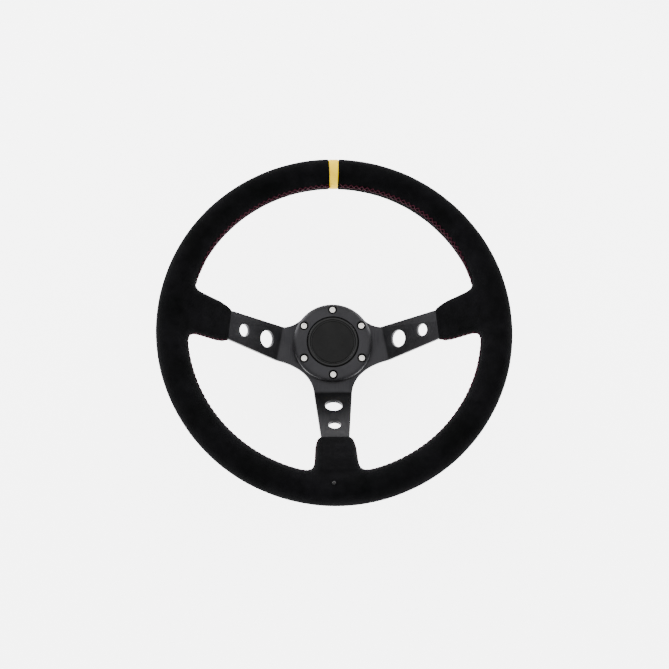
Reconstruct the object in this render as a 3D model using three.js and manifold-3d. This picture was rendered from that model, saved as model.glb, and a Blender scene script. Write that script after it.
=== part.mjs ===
// Quick release steering wheel: a dished three-spoke racing wheel with a suede rim, a horn button in
// its hub, and a splined ball-lock coupling behind the hub that lets the wheel come off its column.
//
// Millimetres. +Z runs along the steering axis towards the driver and +Y points to twelve o'clock.
// The origin is on that axis, at the rear face of the column flange.

import * as THREE from 'three';
import { mergeVertices } from 'three/addons/utils/BufferGeometryUtils.js';
import Module from 'manifold-3d';

const wasm = await Module();
wasm.setup();

// ---------------------------------------------------------------- driving dimensions

const GAP = 0.3;                    // clearance between touching pieces
const TURN = 2 * Math.PI;
const DEGREE = Math.PI / 180;

const WHEEL_DIAMETER = 350;
const RIM_HALF_WIDTH = 15.2;        // rim section, across the rim
const RIM_HALF_DEPTH = 16.5;        // rim section, along the steering axis
const RIM_RADIUS = WHEEL_DIAMETER / 2 - RIM_HALF_WIDTH;
const RIM_HEIGHT = 128;             // mid-plane of the rim above the column flange
const RIM_STEPS = 40;
const RIM_SIDES = 12;
const COUPLING_STEPS = 24;          // around every turned piece of the coupling
const COVER_THICKNESS = 1.2;
const BAND_WIDTH = 9.4;             // centre marker at twelve o'clock
const BAND_RECESS = 0.3;

const PLATE_THICKNESS = 4;
const PLATE_FRONT = 49;             // front face of the hub plate
const PLATE_BACK = PLATE_FRONT - PLATE_THICKNESS;
const HUB_RADIUS = 42.5;
const HUB_OPENING_RADIUS = 25.6;    // clears the horn base
const DISH_ANGLE = 42 * DEGREE;
const BEND_RADIUS = 6;
const SPOKE_END_FRONT = 127.7;      // front face of the flat spoke ends inside the rim
const SPOKE_END = 163;              // distance of the spoke ends from the steering axis
const SPOKE_END_HALF_WIDTH = 13;
const COVER_START = 105.5;          // where the suede begins on each spoke
const TAPER_LENGTH = 8;             // past it the metal narrows to its end width
const SIDE_SPOKE_RISE = 10.3 * DEGREE;
const SIDE_SPOKE_OFFSET = 9.4;      // the side spokes point this far below the hub centre
const LARGE_HOLE = { at: 69.4, radius: 8.9 };
const SMALL_HOLE = { at: 92.4, radius: 6.3 };
const LOWER_CORNER = [23.2, -26.9]; // where the edges of a side spoke and the bottom one would cross
const LOWER_SWEEP = 0.65;           // how far the curve between them reaches towards that corner
const UPPER_SWEEP = { hubAngle: 43 * DEGREE, hubHandle: 6, spokeHandle: [9, 0.6] };

const BOLT_CIRCLE_RADIUS = 35;      // six M5 screws on a 70 mm circle
const BOLT_COUNT = 6;
const BOLT_RADIUS = 2.5;
const BOLT_HOLE_RADIUS = 2.8;
const BOLT_HEAD_RADIUS = 4.25;
const BOLT_HEAD_HEIGHT = 5;
const BOLT_HEAD_TOP = 58.75;
const COUNTERBORE_RADIUS = 4.8;
const HEX_KEY = 4;

const RING_RADIUS = 41.5;           // retaining ring around the horn button
const RING_FRONT = 59.8;
const RING_SHOULDER = { width: 6.5, drop: 4.2 };
const RING_OPENING = 27.3;
const RING_LIP_BACK = 56;
const RING_POCKET = 29;

const BUTTON_RADIUS = 26.3;
const BUTTON_TRAVEL = 2.5;
const BADGE_RADIUS = 22.6;

const FLANGE_RADIUS = 35;           // column side of the coupling
const FLANGE_THICKNESS = 6;
const COLUMN_BORE = 11;
const COLUMN_HOLE_COUNT = 3;        // three 6.5 mm holes on a 50.8 mm circle
const COLUMN_HOLE_CIRCLE = 25.4;
const COLUMN_HOLE_RADIUS = 3.25;
const NECK_RADIUS = 20;
const NECK_TOP = 12;
const SPLINE_TOP = 27;
const SPLINE_COUNT = 12;
const SPLINE_TIP = 17;
const SPLINE_ROOT = 15.5;
const SPIGOT_RADIUS = 15.2;
const SPIGOT_TOP = 37.5;

const BALL_COUNT = 6;
const BALL_RADIUS = 3;
const BALL_HEIGHT = 31.5;
const BALL_LOCKED_RADIUS = 16.9;    // ball centres from the axis, locked
const BALL_TRAVEL = 1.4;

const BARREL_RADIUS = 19.5;         // wheel side of the coupling
const BARREL_BOTTOM = NECK_TOP + GAP;
const BARREL_BORE = 15.6;
const COUPLER_FLANGE_RADIUS = 40.5;
const COUPLER_FRONT = PLATE_BACK - GAP;
const COUPLER_FLANGE_BACK = COUPLER_FRONT - 5;

const SLEEVE_RADIUS = 29;
const SLEEVE_BOTTOM = 15;
const SLEEVE_TRAVEL = 5;
const SLEEVE_TOP = COUPLER_FLANGE_BACK - GAP - SLEEVE_TRAVEL;
const SLEEVE_FLUTES = COUPLING_STEPS / 2;

// ---------------------------------------------------------------- solids

// Turns inside-out geometry the right way round, so that every face points outwards.
function facingOut(geometry) {
  const index = geometry.index.array;
  const place = geometry.attributes.position;
  const corner = [new THREE.Vector3(), new THREE.Vector3(), new THREE.Vector3()];
  let volume = 0;
  for (let i = 0; i < index.length; i += 3) {
    corner.forEach((point, k) => point.fromBufferAttribute(place, index[i + k]));
    volume += corner[0].dot(corner[1].cross(corner[2]));
  }
  if (volume < 0) {
    index.reverse();
  }
  return geometry;
}

// A geometry with shared corners and no collapsed triangles.
function welded(source) {
  const bare = source.clone();
  bare.deleteAttribute('normal');
  bare.deleteAttribute('uv');
  const geometry = mergeVertices(bare, 1e-4);
  const kept = [];
  const index = geometry.index.array;
  for (let i = 0; i < index.length; i += 3) {
    const [a, b, c] = index.slice(i, i + 3);
    if (a !== b && b !== c && c !== a) {
      kept.push(a, b, c);
    }
  }
  geometry.setIndex(kept);
  return facingOut(geometry);
}

// The closed solid of a geometry, ready to be joined or cut.
function solid(source) {
  const geometry = welded(source);
  return new wasm.Manifold(new wasm.Mesh({
    numProp: 3,
    vertProperties: new Float32Array(geometry.attributes.position.array),
    triVerts: new Uint32Array(geometry.index.array),
  }));
}

function geometryOf(shape) {
  const mesh = shape.getMesh();
  const geometry = new THREE.BufferGeometry();
  geometry.setAttribute('position', new THREE.BufferAttribute(mesh.vertProperties, 3));
  geometry.setIndex(new THREE.BufferAttribute(mesh.triVerts, 1));
  return geometry;
}

// Turned about the steering axis from [radius, height] points, closing on the axis or on itself.
function turnedGeometry(profile, steps) {
  const points = profile.map(([radius, height]) => new THREE.Vector2(radius, height));
  if (profile[0][0] > 0) {
    points.push(points[0].clone());
  }
  return new THREE.LatheGeometry(points, steps).rotateX(Math.PI / 2);
}

function turned(profile, steps) {
  return solid(turnedGeometry(profile, steps));
}

// A flat outline raised between two heights.
function raised(outline, low, high, curveSegments = 12) {
  const geometry = new THREE.ExtrudeGeometry(outline, {
    depth: high - low,
    bevelEnabled: false,
    curveSegments,
  });
  return solid(geometry.translate(0, 0, low));
}

function disc(radius, low, high, steps, x = 0, y = 0) {
  const geometry = new THREE.CylinderGeometry(radius, radius, high - low, steps);
  return solid(geometry.rotateX(Math.PI / 2).translate(x, y, (low + high) / 2));
}

function box(width, depth, low, high, x = 0, y = 0) {
  return solid(new THREE.BoxGeometry(width, depth, high - low).translate(x, y, (low + high) / 2));
}

function around(count, start, make) {
  return Array.from({ length: count }, (_, i) => make(start + (i * TURN) / count, i));
}

function without(body, cutters) {
  return cutters.reduce((left, cutter) => left.subtract(cutter), body);
}

// ---------------------------------------------------------------- the tree

const group = new THREE.Group();
group.name = 'quick_release_steering_wheel';

const FINISH = {
  suede: { color: 0x141414, roughness: 0.95, metalness: 0 },
  band: { color: 0xf2d95c, roughness: 0.75, metalness: 0 },
  foam: { color: 0x2b2b2d, roughness: 0.9, metalness: 0 },
  plate: { color: 0x36373a, roughness: 0.42, metalness: 0.85 },
  steel: { color: 0x8d8f92, roughness: 0.4, metalness: 1 },
  ring: { color: 0x2c2d30, roughness: 0.4, metalness: 0.8 },
  screw: { color: 0xd9d4cf, roughness: 0.22, metalness: 1 },
  button: { color: 0x1b1b1c, roughness: 0.5, metalness: 0 },
  badge: { color: 0x262627, roughness: 0.4, metalness: 0 },
  brass: { color: 0xc9a24a, roughness: 0.3, metalness: 1 },
  insulator: { color: 0x3a2a20, roughness: 0.6, metalness: 0 },
  coupler: { color: 0x3b3d42, roughness: 0.35, metalness: 0.9 },
  sleeve: { color: 0xa51d22, roughness: 0.35, metalness: 0.8 },
};

function add(name, shape, finish) {
  const geometry = shape.isBufferGeometry ? welded(shape) : geometryOf(shape);
  geometry.computeVertexNormals();
  const mesh = new THREE.Mesh(geometry, new THREE.MeshStandardMaterial(FINISH[finish]));
  mesh.name = name;
  group.add(mesh);
}

// ---------------------------------------------------------------- column side of the coupling

// Spline outline: straight-sided teeth, given as half angles at the root and at the tip.
function splineOutline(root, tip, halfRoot, halfTip) {
  const outline = new THREE.Shape();
  const points = around(SPLINE_COUNT, 0, (angle) => [
    [root, angle - halfRoot],
    [tip, angle - halfTip],
    [tip, angle + halfTip],
    [root, angle + halfRoot],
  ]).flat();
  outline.setFromPoints(points.map(([r, a]) => new THREE.Vector2(r * Math.cos(a), r * Math.sin(a))));
  return outline;
}

function columnHub() {
  const grooveRadius = BALL_RADIUS + 0.25;
  const grooveHalf = Math.sqrt(grooveRadius ** 2 - (BALL_LOCKED_RADIUS - SPIGOT_RADIUS) ** 2);
  const grooveFloor = BALL_LOCKED_RADIUS - grooveRadius;
  const body = turned([
    [COLUMN_BORE, 0],
    [FLANGE_RADIUS - 1, 0],
    [FLANGE_RADIUS, 1],
    [FLANGE_RADIUS, FLANGE_THICKNESS - 1],
    [FLANGE_RADIUS - 1, FLANGE_THICKNESS],
    [NECK_RADIUS + 0.5, FLANGE_THICKNESS],
    [NECK_RADIUS, FLANGE_THICKNESS + 0.5],
    [NECK_RADIUS, NECK_TOP],
    [SPIGOT_RADIUS, NECK_TOP],
    [SPIGOT_RADIUS, BALL_HEIGHT - grooveHalf],
    [grooveFloor + 0.5, BALL_HEIGHT - grooveHalf / 2],
    [grooveFloor, BALL_HEIGHT],
    [grooveFloor + 0.5, BALL_HEIGHT + grooveHalf / 2],
    [SPIGOT_RADIUS, BALL_HEIGHT + grooveHalf],
    [SPIGOT_RADIUS, SPIGOT_TOP - 1.5],
    [SPIGOT_RADIUS - 1.5, SPIGOT_TOP],
    [COLUMN_BORE, SPIGOT_TOP],
  ], COUPLING_STEPS);
  const teeth = raised(
    splineOutline(SPLINE_ROOT, SPLINE_TIP, 8 * DEGREE, 6.5 * DEGREE),
    NECK_TOP - 1,
    SPLINE_TOP,
  ).subtract(disc(COLUMN_BORE + 2, NECK_TOP - 2, SPLINE_TOP + 1, COUPLING_STEPS));
  const holes = around(COLUMN_HOLE_COUNT, 90 * DEGREE, (angle) => disc(
    COLUMN_HOLE_RADIUS, -1, FLANGE_THICKNESS + 1, 14,
    COLUMN_HOLE_CIRCLE * Math.cos(angle), COLUMN_HOLE_CIRCLE * Math.sin(angle),
  ));
  return without(body.add(teeth), holes);
}

add('column_hub', columnHub(), 'steel');

// ---------------------------------------------------------------- wheel side of the coupling

const CIRCLIP_BOTTOM = SLEEVE_BOTTOM - GAP - 1.4;
const CIRCLIP_TOP = SLEEVE_BOTTOM - GAP;
const CIRCLIP_SEAT = 18.4;
const HORN_WELL = 25.8;             // pocket for the horn base in the coupler's front face
const HORN_WELL_FLOOR = 41.9;

function boltHoles(radius, low, high, steps) {
  return around(BOLT_COUNT, 30 * DEGREE, (angle) => disc(
    radius, low, high, steps,
    BOLT_CIRCLE_RADIUS * Math.cos(angle), BOLT_CIRCLE_RADIUS * Math.sin(angle),
  ));
}

function couplerBody() {
  const body = turned([
    [BARREL_BORE, BARREL_BOTTOM],
    [BARREL_RADIUS - 0.5, BARREL_BOTTOM],
    [BARREL_RADIUS, BARREL_BOTTOM + 0.5],
    [BARREL_RADIUS, CIRCLIP_BOTTOM - 0.2],
    [CIRCLIP_SEAT, CIRCLIP_BOTTOM - 0.2],
    [CIRCLIP_SEAT, CIRCLIP_TOP + 0.2],
    [BARREL_RADIUS, CIRCLIP_TOP + 0.2],
    [BARREL_RADIUS, COUPLER_FLANGE_BACK],
    [COUPLER_FLANGE_RADIUS - 1, COUPLER_FLANGE_BACK],
    [COUPLER_FLANGE_RADIUS, COUPLER_FLANGE_BACK + 1],
    [COUPLER_FLANGE_RADIUS, COUPLER_FRONT],
    [HORN_WELL, COUPLER_FRONT],
    [HORN_WELL, HORN_WELL_FLOOR],
    [BARREL_BORE, HORN_WELL_FLOOR],
  ], COUPLING_STEPS);
  const grooves = raised(
    splineOutline(SPLINE_ROOT + GAP, SPLINE_TIP + GAP, 9.2 * DEGREE, 7.7 * DEGREE),
    BARREL_BOTTOM - 1,
    SPLINE_TOP + 0.5,
  );
  const ballHoles = around(BALL_COUNT, 0, (angle) => {
    const drill = new THREE.CylinderGeometry(BALL_RADIUS + GAP, BALL_RADIUS + GAP, 12, 12);
    drill.rotateZ(Math.PI / 2).translate(BALL_LOCKED_RADIUS + 2, 0, BALL_HEIGHT).rotateZ(angle);
    return solid(drill);
  });
  const screwHoles = boltHoles(BOLT_HOLE_RADIUS, COUPLER_FLANGE_BACK - 1, COUPLER_FRONT + 1, 10);
  return without(body, [grooves, ...ballHoles, ...screwHoles]);
}

add('coupler_body', couplerBody(), 'coupler');

// The release sleeve holds the balls in with its cone and lets them out as it slides forwards.
const CONE_RISE = BALL_TRAVEL / SLEEVE_TRAVEL;
const SLEEVE_GUIDE = BARREL_RADIUS + GAP;
const CONE_AT_BALL = BALL_LOCKED_RADIUS + BALL_RADIUS + 0.4;
const CONE_WIDE = 22;
const SPRING_POCKET_FLOOR = 22;
const SPRING_POCKET = [23.2, 27];

function releaseSleeve() {
  const coneTop = BALL_HEIGHT + (CONE_AT_BALL - SLEEVE_GUIDE) / CONE_RISE;
  const coneBottom = BALL_HEIGHT - (CONE_WIDE - CONE_AT_BALL) / CONE_RISE;
  const waist = SLEEVE_RADIUS - 0.8;
  const geometry = turnedGeometry([
    [SLEEVE_GUIDE, SLEEVE_BOTTOM],
    [SLEEVE_RADIUS - 1.5, SLEEVE_BOTTOM],
    [SLEEVE_RADIUS, SLEEVE_BOTTOM + 1.5],
    [SLEEVE_RADIUS, SLEEVE_BOTTOM + 3.5],
    [waist, SLEEVE_BOTTOM + 4.3],
    [waist, SLEEVE_TOP - 4.3],
    [SLEEVE_RADIUS, SLEEVE_TOP - 3.5],
    [SLEEVE_RADIUS, SLEEVE_TOP - 1],
    [SLEEVE_RADIUS - 1, SLEEVE_TOP],
    [SPRING_POCKET[1], SLEEVE_TOP],
    [SPRING_POCKET[1], SPRING_POCKET_FLOOR],
    [SPRING_POCKET[0], SPRING_POCKET_FLOOR],
    [SPRING_POCKET[0], SLEEVE_TOP],
    [SLEEVE_GUIDE, SLEEVE_TOP],
    [SLEEVE_GUIDE, coneTop],
    [CONE_WIDE, coneBottom],
    [CONE_WIDE, SPRING_POCKET_FLOOR - 1.5],
    [SLEEVE_GUIDE, SPRING_POCKET_FLOOR - 3],
  ], 2 * SLEEVE_FLUTES);
  const place = geometry.attributes.position;
  const fluteDepth = 0.7;
  for (let i = 0; i < place.count; i += 1) {
    const x = place.getX(i);
    const y = place.getY(i);
    const step = Math.round((Math.atan2(y, x) / TURN) * 2 * SLEEVE_FLUTES);
    const inWaist = Math.abs(Math.hypot(x, y) - waist) < 0.01;
    if (inWaist && step % 2 !== 0) {
      place.setXY(i, x * (1 - fluteDepth / waist), y * (1 - fluteDepth / waist));
    }
  }
  return geometry;
}

add('release_sleeve', releaseSleeve(), 'sleeve');

// A helix whose end turns lie closer together than its middle ones.
class CoilPath extends THREE.Curve {
  constructor(radius, low, high, turns) {
    super();
    Object.assign(this, { radius, low, high, turns });
  }

  getPoint(t, target = new THREE.Vector3()) {
    const eased = t * t * (3 - 2 * t);
    const height = this.low + (this.high - this.low) * (t + eased) / 2;
    const angle = t * this.turns * TURN;
    return target.set(this.radius * Math.cos(angle), this.radius * Math.sin(angle), height);
  }
}

function coil(radius, wire, low, high, turns) {
  const section = new THREE.Shape();
  section.absarc(0, 0, wire, 0, TURN, false);
  return new THREE.ExtrudeGeometry(section, {
    steps: Math.round(turns * 12),
    curveSegments: 3,
    extrudePath: new CoilPath(radius, low + wire, high - wire, turns),
  });
}

add('sleeve_spring', coil(
  (SPRING_POCKET[0] + SPRING_POCKET[1]) / 2, 0.9,
  SPRING_POCKET_FLOOR + GAP, COUPLER_FLANGE_BACK - GAP, 4.5,
), 'steel');

function circlip() {
  const halfGap = 12 * DEGREE;
  const outer = 21.3;
  const outline = new THREE.Shape();
  outline.absarc(0, 0, outer, -90 * DEGREE + halfGap, 270 * DEGREE - halfGap, false);
  outline.absarc(0, 0, CIRCLIP_SEAT + 0.2, 270 * DEGREE - halfGap, -90 * DEGREE + halfGap, true);
  const ring = raised(outline, CIRCLIP_BOTTOM, CIRCLIP_TOP, 12);
  const earAngles = [-90 * DEGREE + halfGap, -90 * DEGREE - halfGap];
  const ears = earAngles.map((angle) => {
    const x = (outer + 0.4) * Math.cos(angle);
    const y = (outer + 0.4) * Math.sin(angle);
    const ear = disc(1.9, CIRCLIP_BOTTOM, CIRCLIP_TOP, 10, x, y);
    return ear.subtract(disc(0.8, CIRCLIP_BOTTOM - 1, CIRCLIP_TOP + 1, 8, x, y));
  });
  const pinHoles = earAngles.map((angle) => disc(
    0.8, CIRCLIP_BOTTOM - 1, CIRCLIP_TOP + 1, 8,
    (outer + 0.4) * Math.cos(angle), (outer + 0.4) * Math.sin(angle),
  ));
  return without(ears.reduce((whole, ear) => whole.add(ear), ring), pinHoles);
}

add('sleeve_circlip', circlip(), 'steel');

around(BALL_COUNT, 0, (angle, i) => {
  const ball = new THREE.SphereGeometry(BALL_RADIUS, 10, 7);
  ball.translate(BALL_LOCKED_RADIUS, 0, BALL_HEIGHT).rotateZ(angle);
  add(`lock_ball_${i + 1}`, ball, 'screw');
});

// ---------------------------------------------------------------- spoke plate

const DRILL = 30;                   // length of the cutters that only have to pass through
const HUB_BLANK = 70;
const BLANK_WIDTH = 120;
const FOLD_MARGIN = 12;             // flat metal kept between the hub and each fold
const HUB_OVERLAP = 4;              // the hub and a spoke's sheet share this much of it

const SPOKES = {
  right: { turn: SIDE_SPOKE_RISE, shift: -SIDE_SPOKE_OFFSET, fold: 54.3, foldHalf: 18.6, coverHalf: 14.8 },
  left: {
    turn: Math.PI - SIDE_SPOKE_RISE, shift: SIDE_SPOKE_OFFSET, fold: 54.3, foldHalf: 18.6, coverHalf: 14.8,
  },
  bottom: { turn: -Math.PI / 2, shift: 0, fold: 52.2, foldHalf: 20.1, coverHalf: 14.2 },
};

// A place on a spoke, given along it and across it, in the plan of the whole wheel.
function onSpoke(spoke, along, across) {
  return new THREE.Vector2(along, spoke.shift + across)
    .rotateAround(new THREE.Vector2(0, 0), spoke.turn);
}

// Side view of a spoke: flat at the hub, folded up to the dish angle, flat again inside the rim.
// The sheet reaches as far out as end and is thickened by grow on both faces.
function sheetOutline(spoke, end, grow) {
  const front = PLATE_FRONT;
  const start = spoke.fold - FOLD_MARGIN;
  const reach = (SPOKE_END_FRONT - front) / Math.tan(DISH_ANGLE);
  const half = Math.tan(DISH_ANGLE / 2);
  const lower = new THREE.Vector2(spoke.fold - BEND_RADIUS * half, front + BEND_RADIUS);
  const outside = BEND_RADIUS + PLATE_THICKNESS;
  const upper = new THREE.Vector2(spoke.fold + reach + outside * half, SPOKE_END_FRONT - outside);
  const down = -Math.PI / 2;
  const up = Math.PI / 2;
  const outline = new THREE.Shape();
  outline.moveTo(start, PLATE_BACK - grow);
  outline.absarc(lower.x, lower.y, outside + grow, down, down + DISH_ANGLE, false);
  outline.absarc(upper.x, upper.y, BEND_RADIUS - grow, up + DISH_ANGLE, up, true);
  outline.lineTo(end, SPOKE_END_FRONT - PLATE_THICKNESS - grow);
  outline.lineTo(end, SPOKE_END_FRONT + grow);
  outline.absarc(upper.x, upper.y, outside + grow, up, up + DISH_ANGLE, false);
  outline.absarc(lower.x, lower.y, BEND_RADIUS - grow, down + DISH_ANGLE, down, true);
  outline.lineTo(start, front + grow);
  return outline;
}

function sheet(spoke, end, grow) {
  const geometry = new THREE.ExtrudeGeometry(sheetOutline(spoke, end, grow), {
    depth: BLANK_WIDTH,
    bevelEnabled: false,
    curveSegments: 2,
  });
  geometry.translate(0, 0, -BLANK_WIDTH / 2).rotateX(Math.PI / 2);
  return solid(geometry.translate(0, spoke.shift, 0).rotateZ(spoke.turn));
}

// Plan of the plate: a round hub running out into three tapering spokes.
function plateOutline() {
  const { right, left, bottom } = SPOKES;
  const outline = new THREE.Shape();
  const { hubAngle, hubHandle, spokeHandle } = UPPER_SWEEP;
  const to = (point) => outline.lineTo(point.x, point.y);
  const curve = (a, b, end) => outline.bezierCurveTo(a.x, a.y, b.x, b.y, end.x, end.y);
  const along = (spoke, side) => [
    onSpoke(spoke, spoke.fold, side * spoke.foldHalf),
    onSpoke(spoke, COVER_START, side * spoke.coverHalf),
    onSpoke(spoke, COVER_START + TAPER_LENGTH, side * SPOKE_END_HALF_WIDTH),
    onSpoke(spoke, SPOKE_END, side * SPOKE_END_HALF_WIDTH),
  ];
  const spoke = (which) => {
    along(which, -1).forEach(to);
    along(which, 1).reverse().forEach(to);
  };
  const lowerCorner = (side) => new THREE.Vector2(side * LOWER_CORNER[0], LOWER_CORNER[1]);
  const sweep = (from, corner, end) => {
    curve(from.clone().lerp(corner, LOWER_SWEEP), end.clone().lerp(corner, LOWER_SWEEP), end);
  };
  const rightTop = along(right, 1)[0];
  const leftTop = along(left, -1)[0];
  const onHub = (angle) => new THREE.Vector2(Math.cos(angle), Math.sin(angle)).multiplyScalar(HUB_RADIUS);
  const tangent = (angle) => new THREE.Vector2(-Math.sin(angle), Math.cos(angle));
  const start = along(right, -1)[0];
  outline.moveTo(start.x, start.y);
  spoke(right);
  curve(
    rightTop.clone().add(new THREE.Vector2(-spokeHandle[0], spokeHandle[1])),
    onHub(hubAngle).addScaledVector(tangent(hubAngle), -hubHandle),
    onHub(hubAngle),
  );
  outline.absarc(0, 0, HUB_RADIUS, hubAngle, Math.PI - hubAngle, false);
  curve(
    onHub(Math.PI - hubAngle).addScaledVector(tangent(Math.PI - hubAngle), hubHandle),
    leftTop.clone().add(new THREE.Vector2(...spokeHandle)),
    leftTop,
  );
  spoke(left);
  sweep(along(left, 1)[0], lowerCorner(-1), along(bottom, -1)[0]);
  spoke(bottom);
  sweep(along(bottom, 1)[0], lowerCorner(1), start);
  return outline;
}

// A hole through the sloping part of a spoke, square to its surface.
function spokeHole(spoke, { at, radius }) {
  const drill = new THREE.CylinderGeometry(radius, radius, DRILL, 18);
  drill.rotateX(Math.PI / 2).rotateY(-DISH_ANGLE);
  const front = PLATE_FRONT + (at - spoke.fold) * Math.tan(DISH_ANGLE);
  return solid(drill.translate(at, spoke.shift, front).rotateZ(spoke.turn));
}

const RIVET_RADIUS = 2;
const RIVET_ALONG = 156;
const RIVET_ACROSS = 7;
const RIVET_PLACES = Object.values(SPOKES).flatMap((spoke) => [
  onSpoke(spoke, RIVET_ALONG, -RIVET_ACROSS),
  onSpoke(spoke, RIVET_ALONG, RIVET_ACROSS),
]);

function spokePlate() {
  const plan = raised(plateOutline(), PLATE_BACK - 1, SPOKE_END_FRONT + 1, 6);
  const hub = disc(HUB_BLANK, PLATE_BACK, PLATE_FRONT, 40);
  const hubZone = without(hub, Object.values(SPOKES).map((spoke) => {
    const middle = spoke.fold - FOLD_MARGIN + HUB_OVERLAP + HUB_BLANK / 2;
    const beyond = new THREE.BoxGeometry(HUB_BLANK, 2 * HUB_BLANK, DRILL);
    return solid(beyond.translate(middle, spoke.shift, PLATE_FRONT).rotateZ(spoke.turn));
  }));
  const sheets = Object.values(SPOKES).map((spoke) => sheet(spoke, SPOKE_END, 0));
  const whole = sheets.reduce((body, part) => body.add(part.intersect(plan)), hubZone.intersect(plan));
  const lightening = Object.values(SPOKES).flatMap((spoke) => [
    spokeHole(spoke, LARGE_HOLE),
    spokeHole(spoke, SMALL_HOLE),
  ]);
  const rivetHoles = RIVET_PLACES.map((place) => disc(
    RIVET_RADIUS + GAP, SPOKE_END_FRONT - DRILL / 2, SPOKE_END_FRONT + DRILL / 2, 8, place.x, place.y,
  ));
  return without(whole, [
    disc(HUB_OPENING_RADIUS, PLATE_BACK - 1, PLATE_FRONT + 1, 28),
    ...boltHoles(BOLT_HOLE_RADIUS, PLATE_BACK - 1, PLATE_FRONT + 1, 10),
    ...lightening,
    ...rivetHoles,
  ]);
}

add('spoke_plate', spokePlate(), 'plate');

// ---------------------------------------------------------------- rim

const CORE_BACK = SPOKE_END_FRONT + GAP;
const CORE_FRONT = CORE_BACK + 3;
const CORE_HALF_WIDTH = 8;

function rimCore() {
  const ring = turned([
    [RIM_RADIUS - CORE_HALF_WIDTH, CORE_BACK],
    [RIM_RADIUS + CORE_HALF_WIDTH, CORE_BACK],
    [RIM_RADIUS + CORE_HALF_WIDTH, CORE_FRONT],
    [RIM_RADIUS - CORE_HALF_WIDTH, CORE_FRONT],
  ], RIM_STEPS);
  return without(ring, RIVET_PLACES.map((place) => (
    disc(RIVET_RADIUS + GAP, CORE_BACK - 1, CORE_FRONT + 1, 8, place.x, place.y)
  )));
}

add('rim_core', rimCore(), 'steel');

const RIVET_BACK = SPOKE_END_FRONT - PLATE_THICKNESS - GAP;
const RIVET_FRONT = CORE_FRONT + GAP;
const RIVET_HEAD = { radius: 3.4, height: 1.5 };

RIVET_PLACES.forEach((place, i) => {
  const rivet = turnedGeometry([
    [0, RIVET_BACK - RIVET_HEAD.height],
    [RIVET_HEAD.radius, RIVET_BACK - RIVET_HEAD.height],
    [RIVET_HEAD.radius, RIVET_BACK],
    [RIVET_RADIUS, RIVET_BACK],
    [RIVET_RADIUS, RIVET_FRONT],
    [RIVET_HEAD.radius, RIVET_FRONT],
    [RIVET_HEAD.radius, RIVET_FRONT + RIVET_HEAD.height],
    [0, RIVET_FRONT + RIVET_HEAD.height],
  ], 6);
  add(`core_rivet_${i + 1}`, rivet.translate(place.x, place.y, 0), 'screw');
});

// A ring with the rim's oval section, smaller all round by inset.
function rimRing(inset) {
  const section = around(RIM_SIDES, 0, (angle) => [
    RIM_RADIUS + (RIM_HALF_WIDTH - inset) * Math.cos(angle),
    RIM_HEIGHT + (RIM_HALF_DEPTH - inset) * Math.sin(angle),
  ]);
  return turned(section, RIM_STEPS);
}

// The space that a stretch of a spoke's plate takes inside its surroundings, with clearance.
function plateSpace(spoke, from, to, halfWidth) {
  const half = halfWidth + GAP;
  const outline = new THREE.Shape();
  outline.setFromPoints([
    onSpoke(spoke, from, -half),
    onSpoke(spoke, to, -half),
    onSpoke(spoke, to, half),
    onSpoke(spoke, from, half),
  ]);
  const folded = sheet(spoke, SPOKE_END + GAP, GAP);
  return raised(outline, PLATE_FRONT, SPOKE_END_FRONT + 1).intersect(folded);
}

const SPOKE_SLOTS = Object.values(SPOKES).map((spoke) => plateSpace(
  spoke, COVER_START, SPOKE_END + GAP, SPOKE_END_HALF_WIDTH,
));

// The small stud on the rim's front face, next to the bottom spoke.
const STUD_ACROSS = -3.6;
const STUD_INWARD = 5.2;            // from the middle of the rim section towards the hub
const STUD_TILT = 21.5 * DEGREE;

function atStud(geometry) {
  const drop = RIM_HALF_DEPTH * Math.sqrt(1 - (STUD_INWARD / RIM_HALF_WIDTH) ** 2);
  geometry.rotateX(-STUD_TILT);
  return geometry.translate(STUD_ACROSS, STUD_INWARD - RIM_RADIUS, RIM_HEIGHT + drop);
}

const STUD_RADIUS = 0.8;
const STUD_HOLE = solid(atStud(
  new THREE.CylinderGeometry(STUD_RADIUS + GAP, STUD_RADIUS + GAP, 12, 8).rotateX(Math.PI / 2),
));

function rimFoam() {
  const coreSpace = turned([
    [RIM_RADIUS - CORE_HALF_WIDTH - GAP, CORE_BACK - GAP],
    [RIM_RADIUS + CORE_HALF_WIDTH + GAP, CORE_BACK - GAP],
    [RIM_RADIUS + CORE_HALF_WIDTH + GAP, CORE_FRONT + GAP],
    [RIM_RADIUS - CORE_HALF_WIDTH - GAP, CORE_FRONT + GAP],
  ], RIM_STEPS);
  const rivetSpace = RIVET_PLACES.map((place) => disc(
    RIVET_HEAD.radius + GAP,
    RIVET_BACK - RIVET_HEAD.height - GAP, RIVET_FRONT + RIVET_HEAD.height + GAP,
    6, place.x, place.y,
  ));
  return without(rimRing(COVER_THICKNESS + GAP), [coreSpace, ...rivetSpace, ...SPOKE_SLOTS, STUD_HOLE]);
}

add('rim_foam', rimFoam(), 'foam');

// A wedge around the steering axis between two angles.
function wedge(from, to) {
  const outline = new THREE.Shape();
  const reach = 2 * RIM_HALF_DEPTH;
  outline.absarc(0, 0, RIM_RADIUS + reach, from, to, false);
  outline.absarc(0, 0, RIM_RADIUS - reach, to, from, true);
  return raised(outline, RIM_HEIGHT - reach, RIM_HEIGHT + reach, 12);
}

const COVER_SHELL = without(rimRing(0), [rimRing(COVER_THICKNESS), ...SPOKE_SLOTS, STUD_HOLE]);
const BAND_HALF = BAND_WIDTH / 2 / RIM_RADIUS;
const SEAM_HALF = GAP / 2 / RIM_RADIUS;
const SIDE_SEAM = 6.75 * DEGREE;    // where the middle of a side spoke meets the rim

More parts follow.
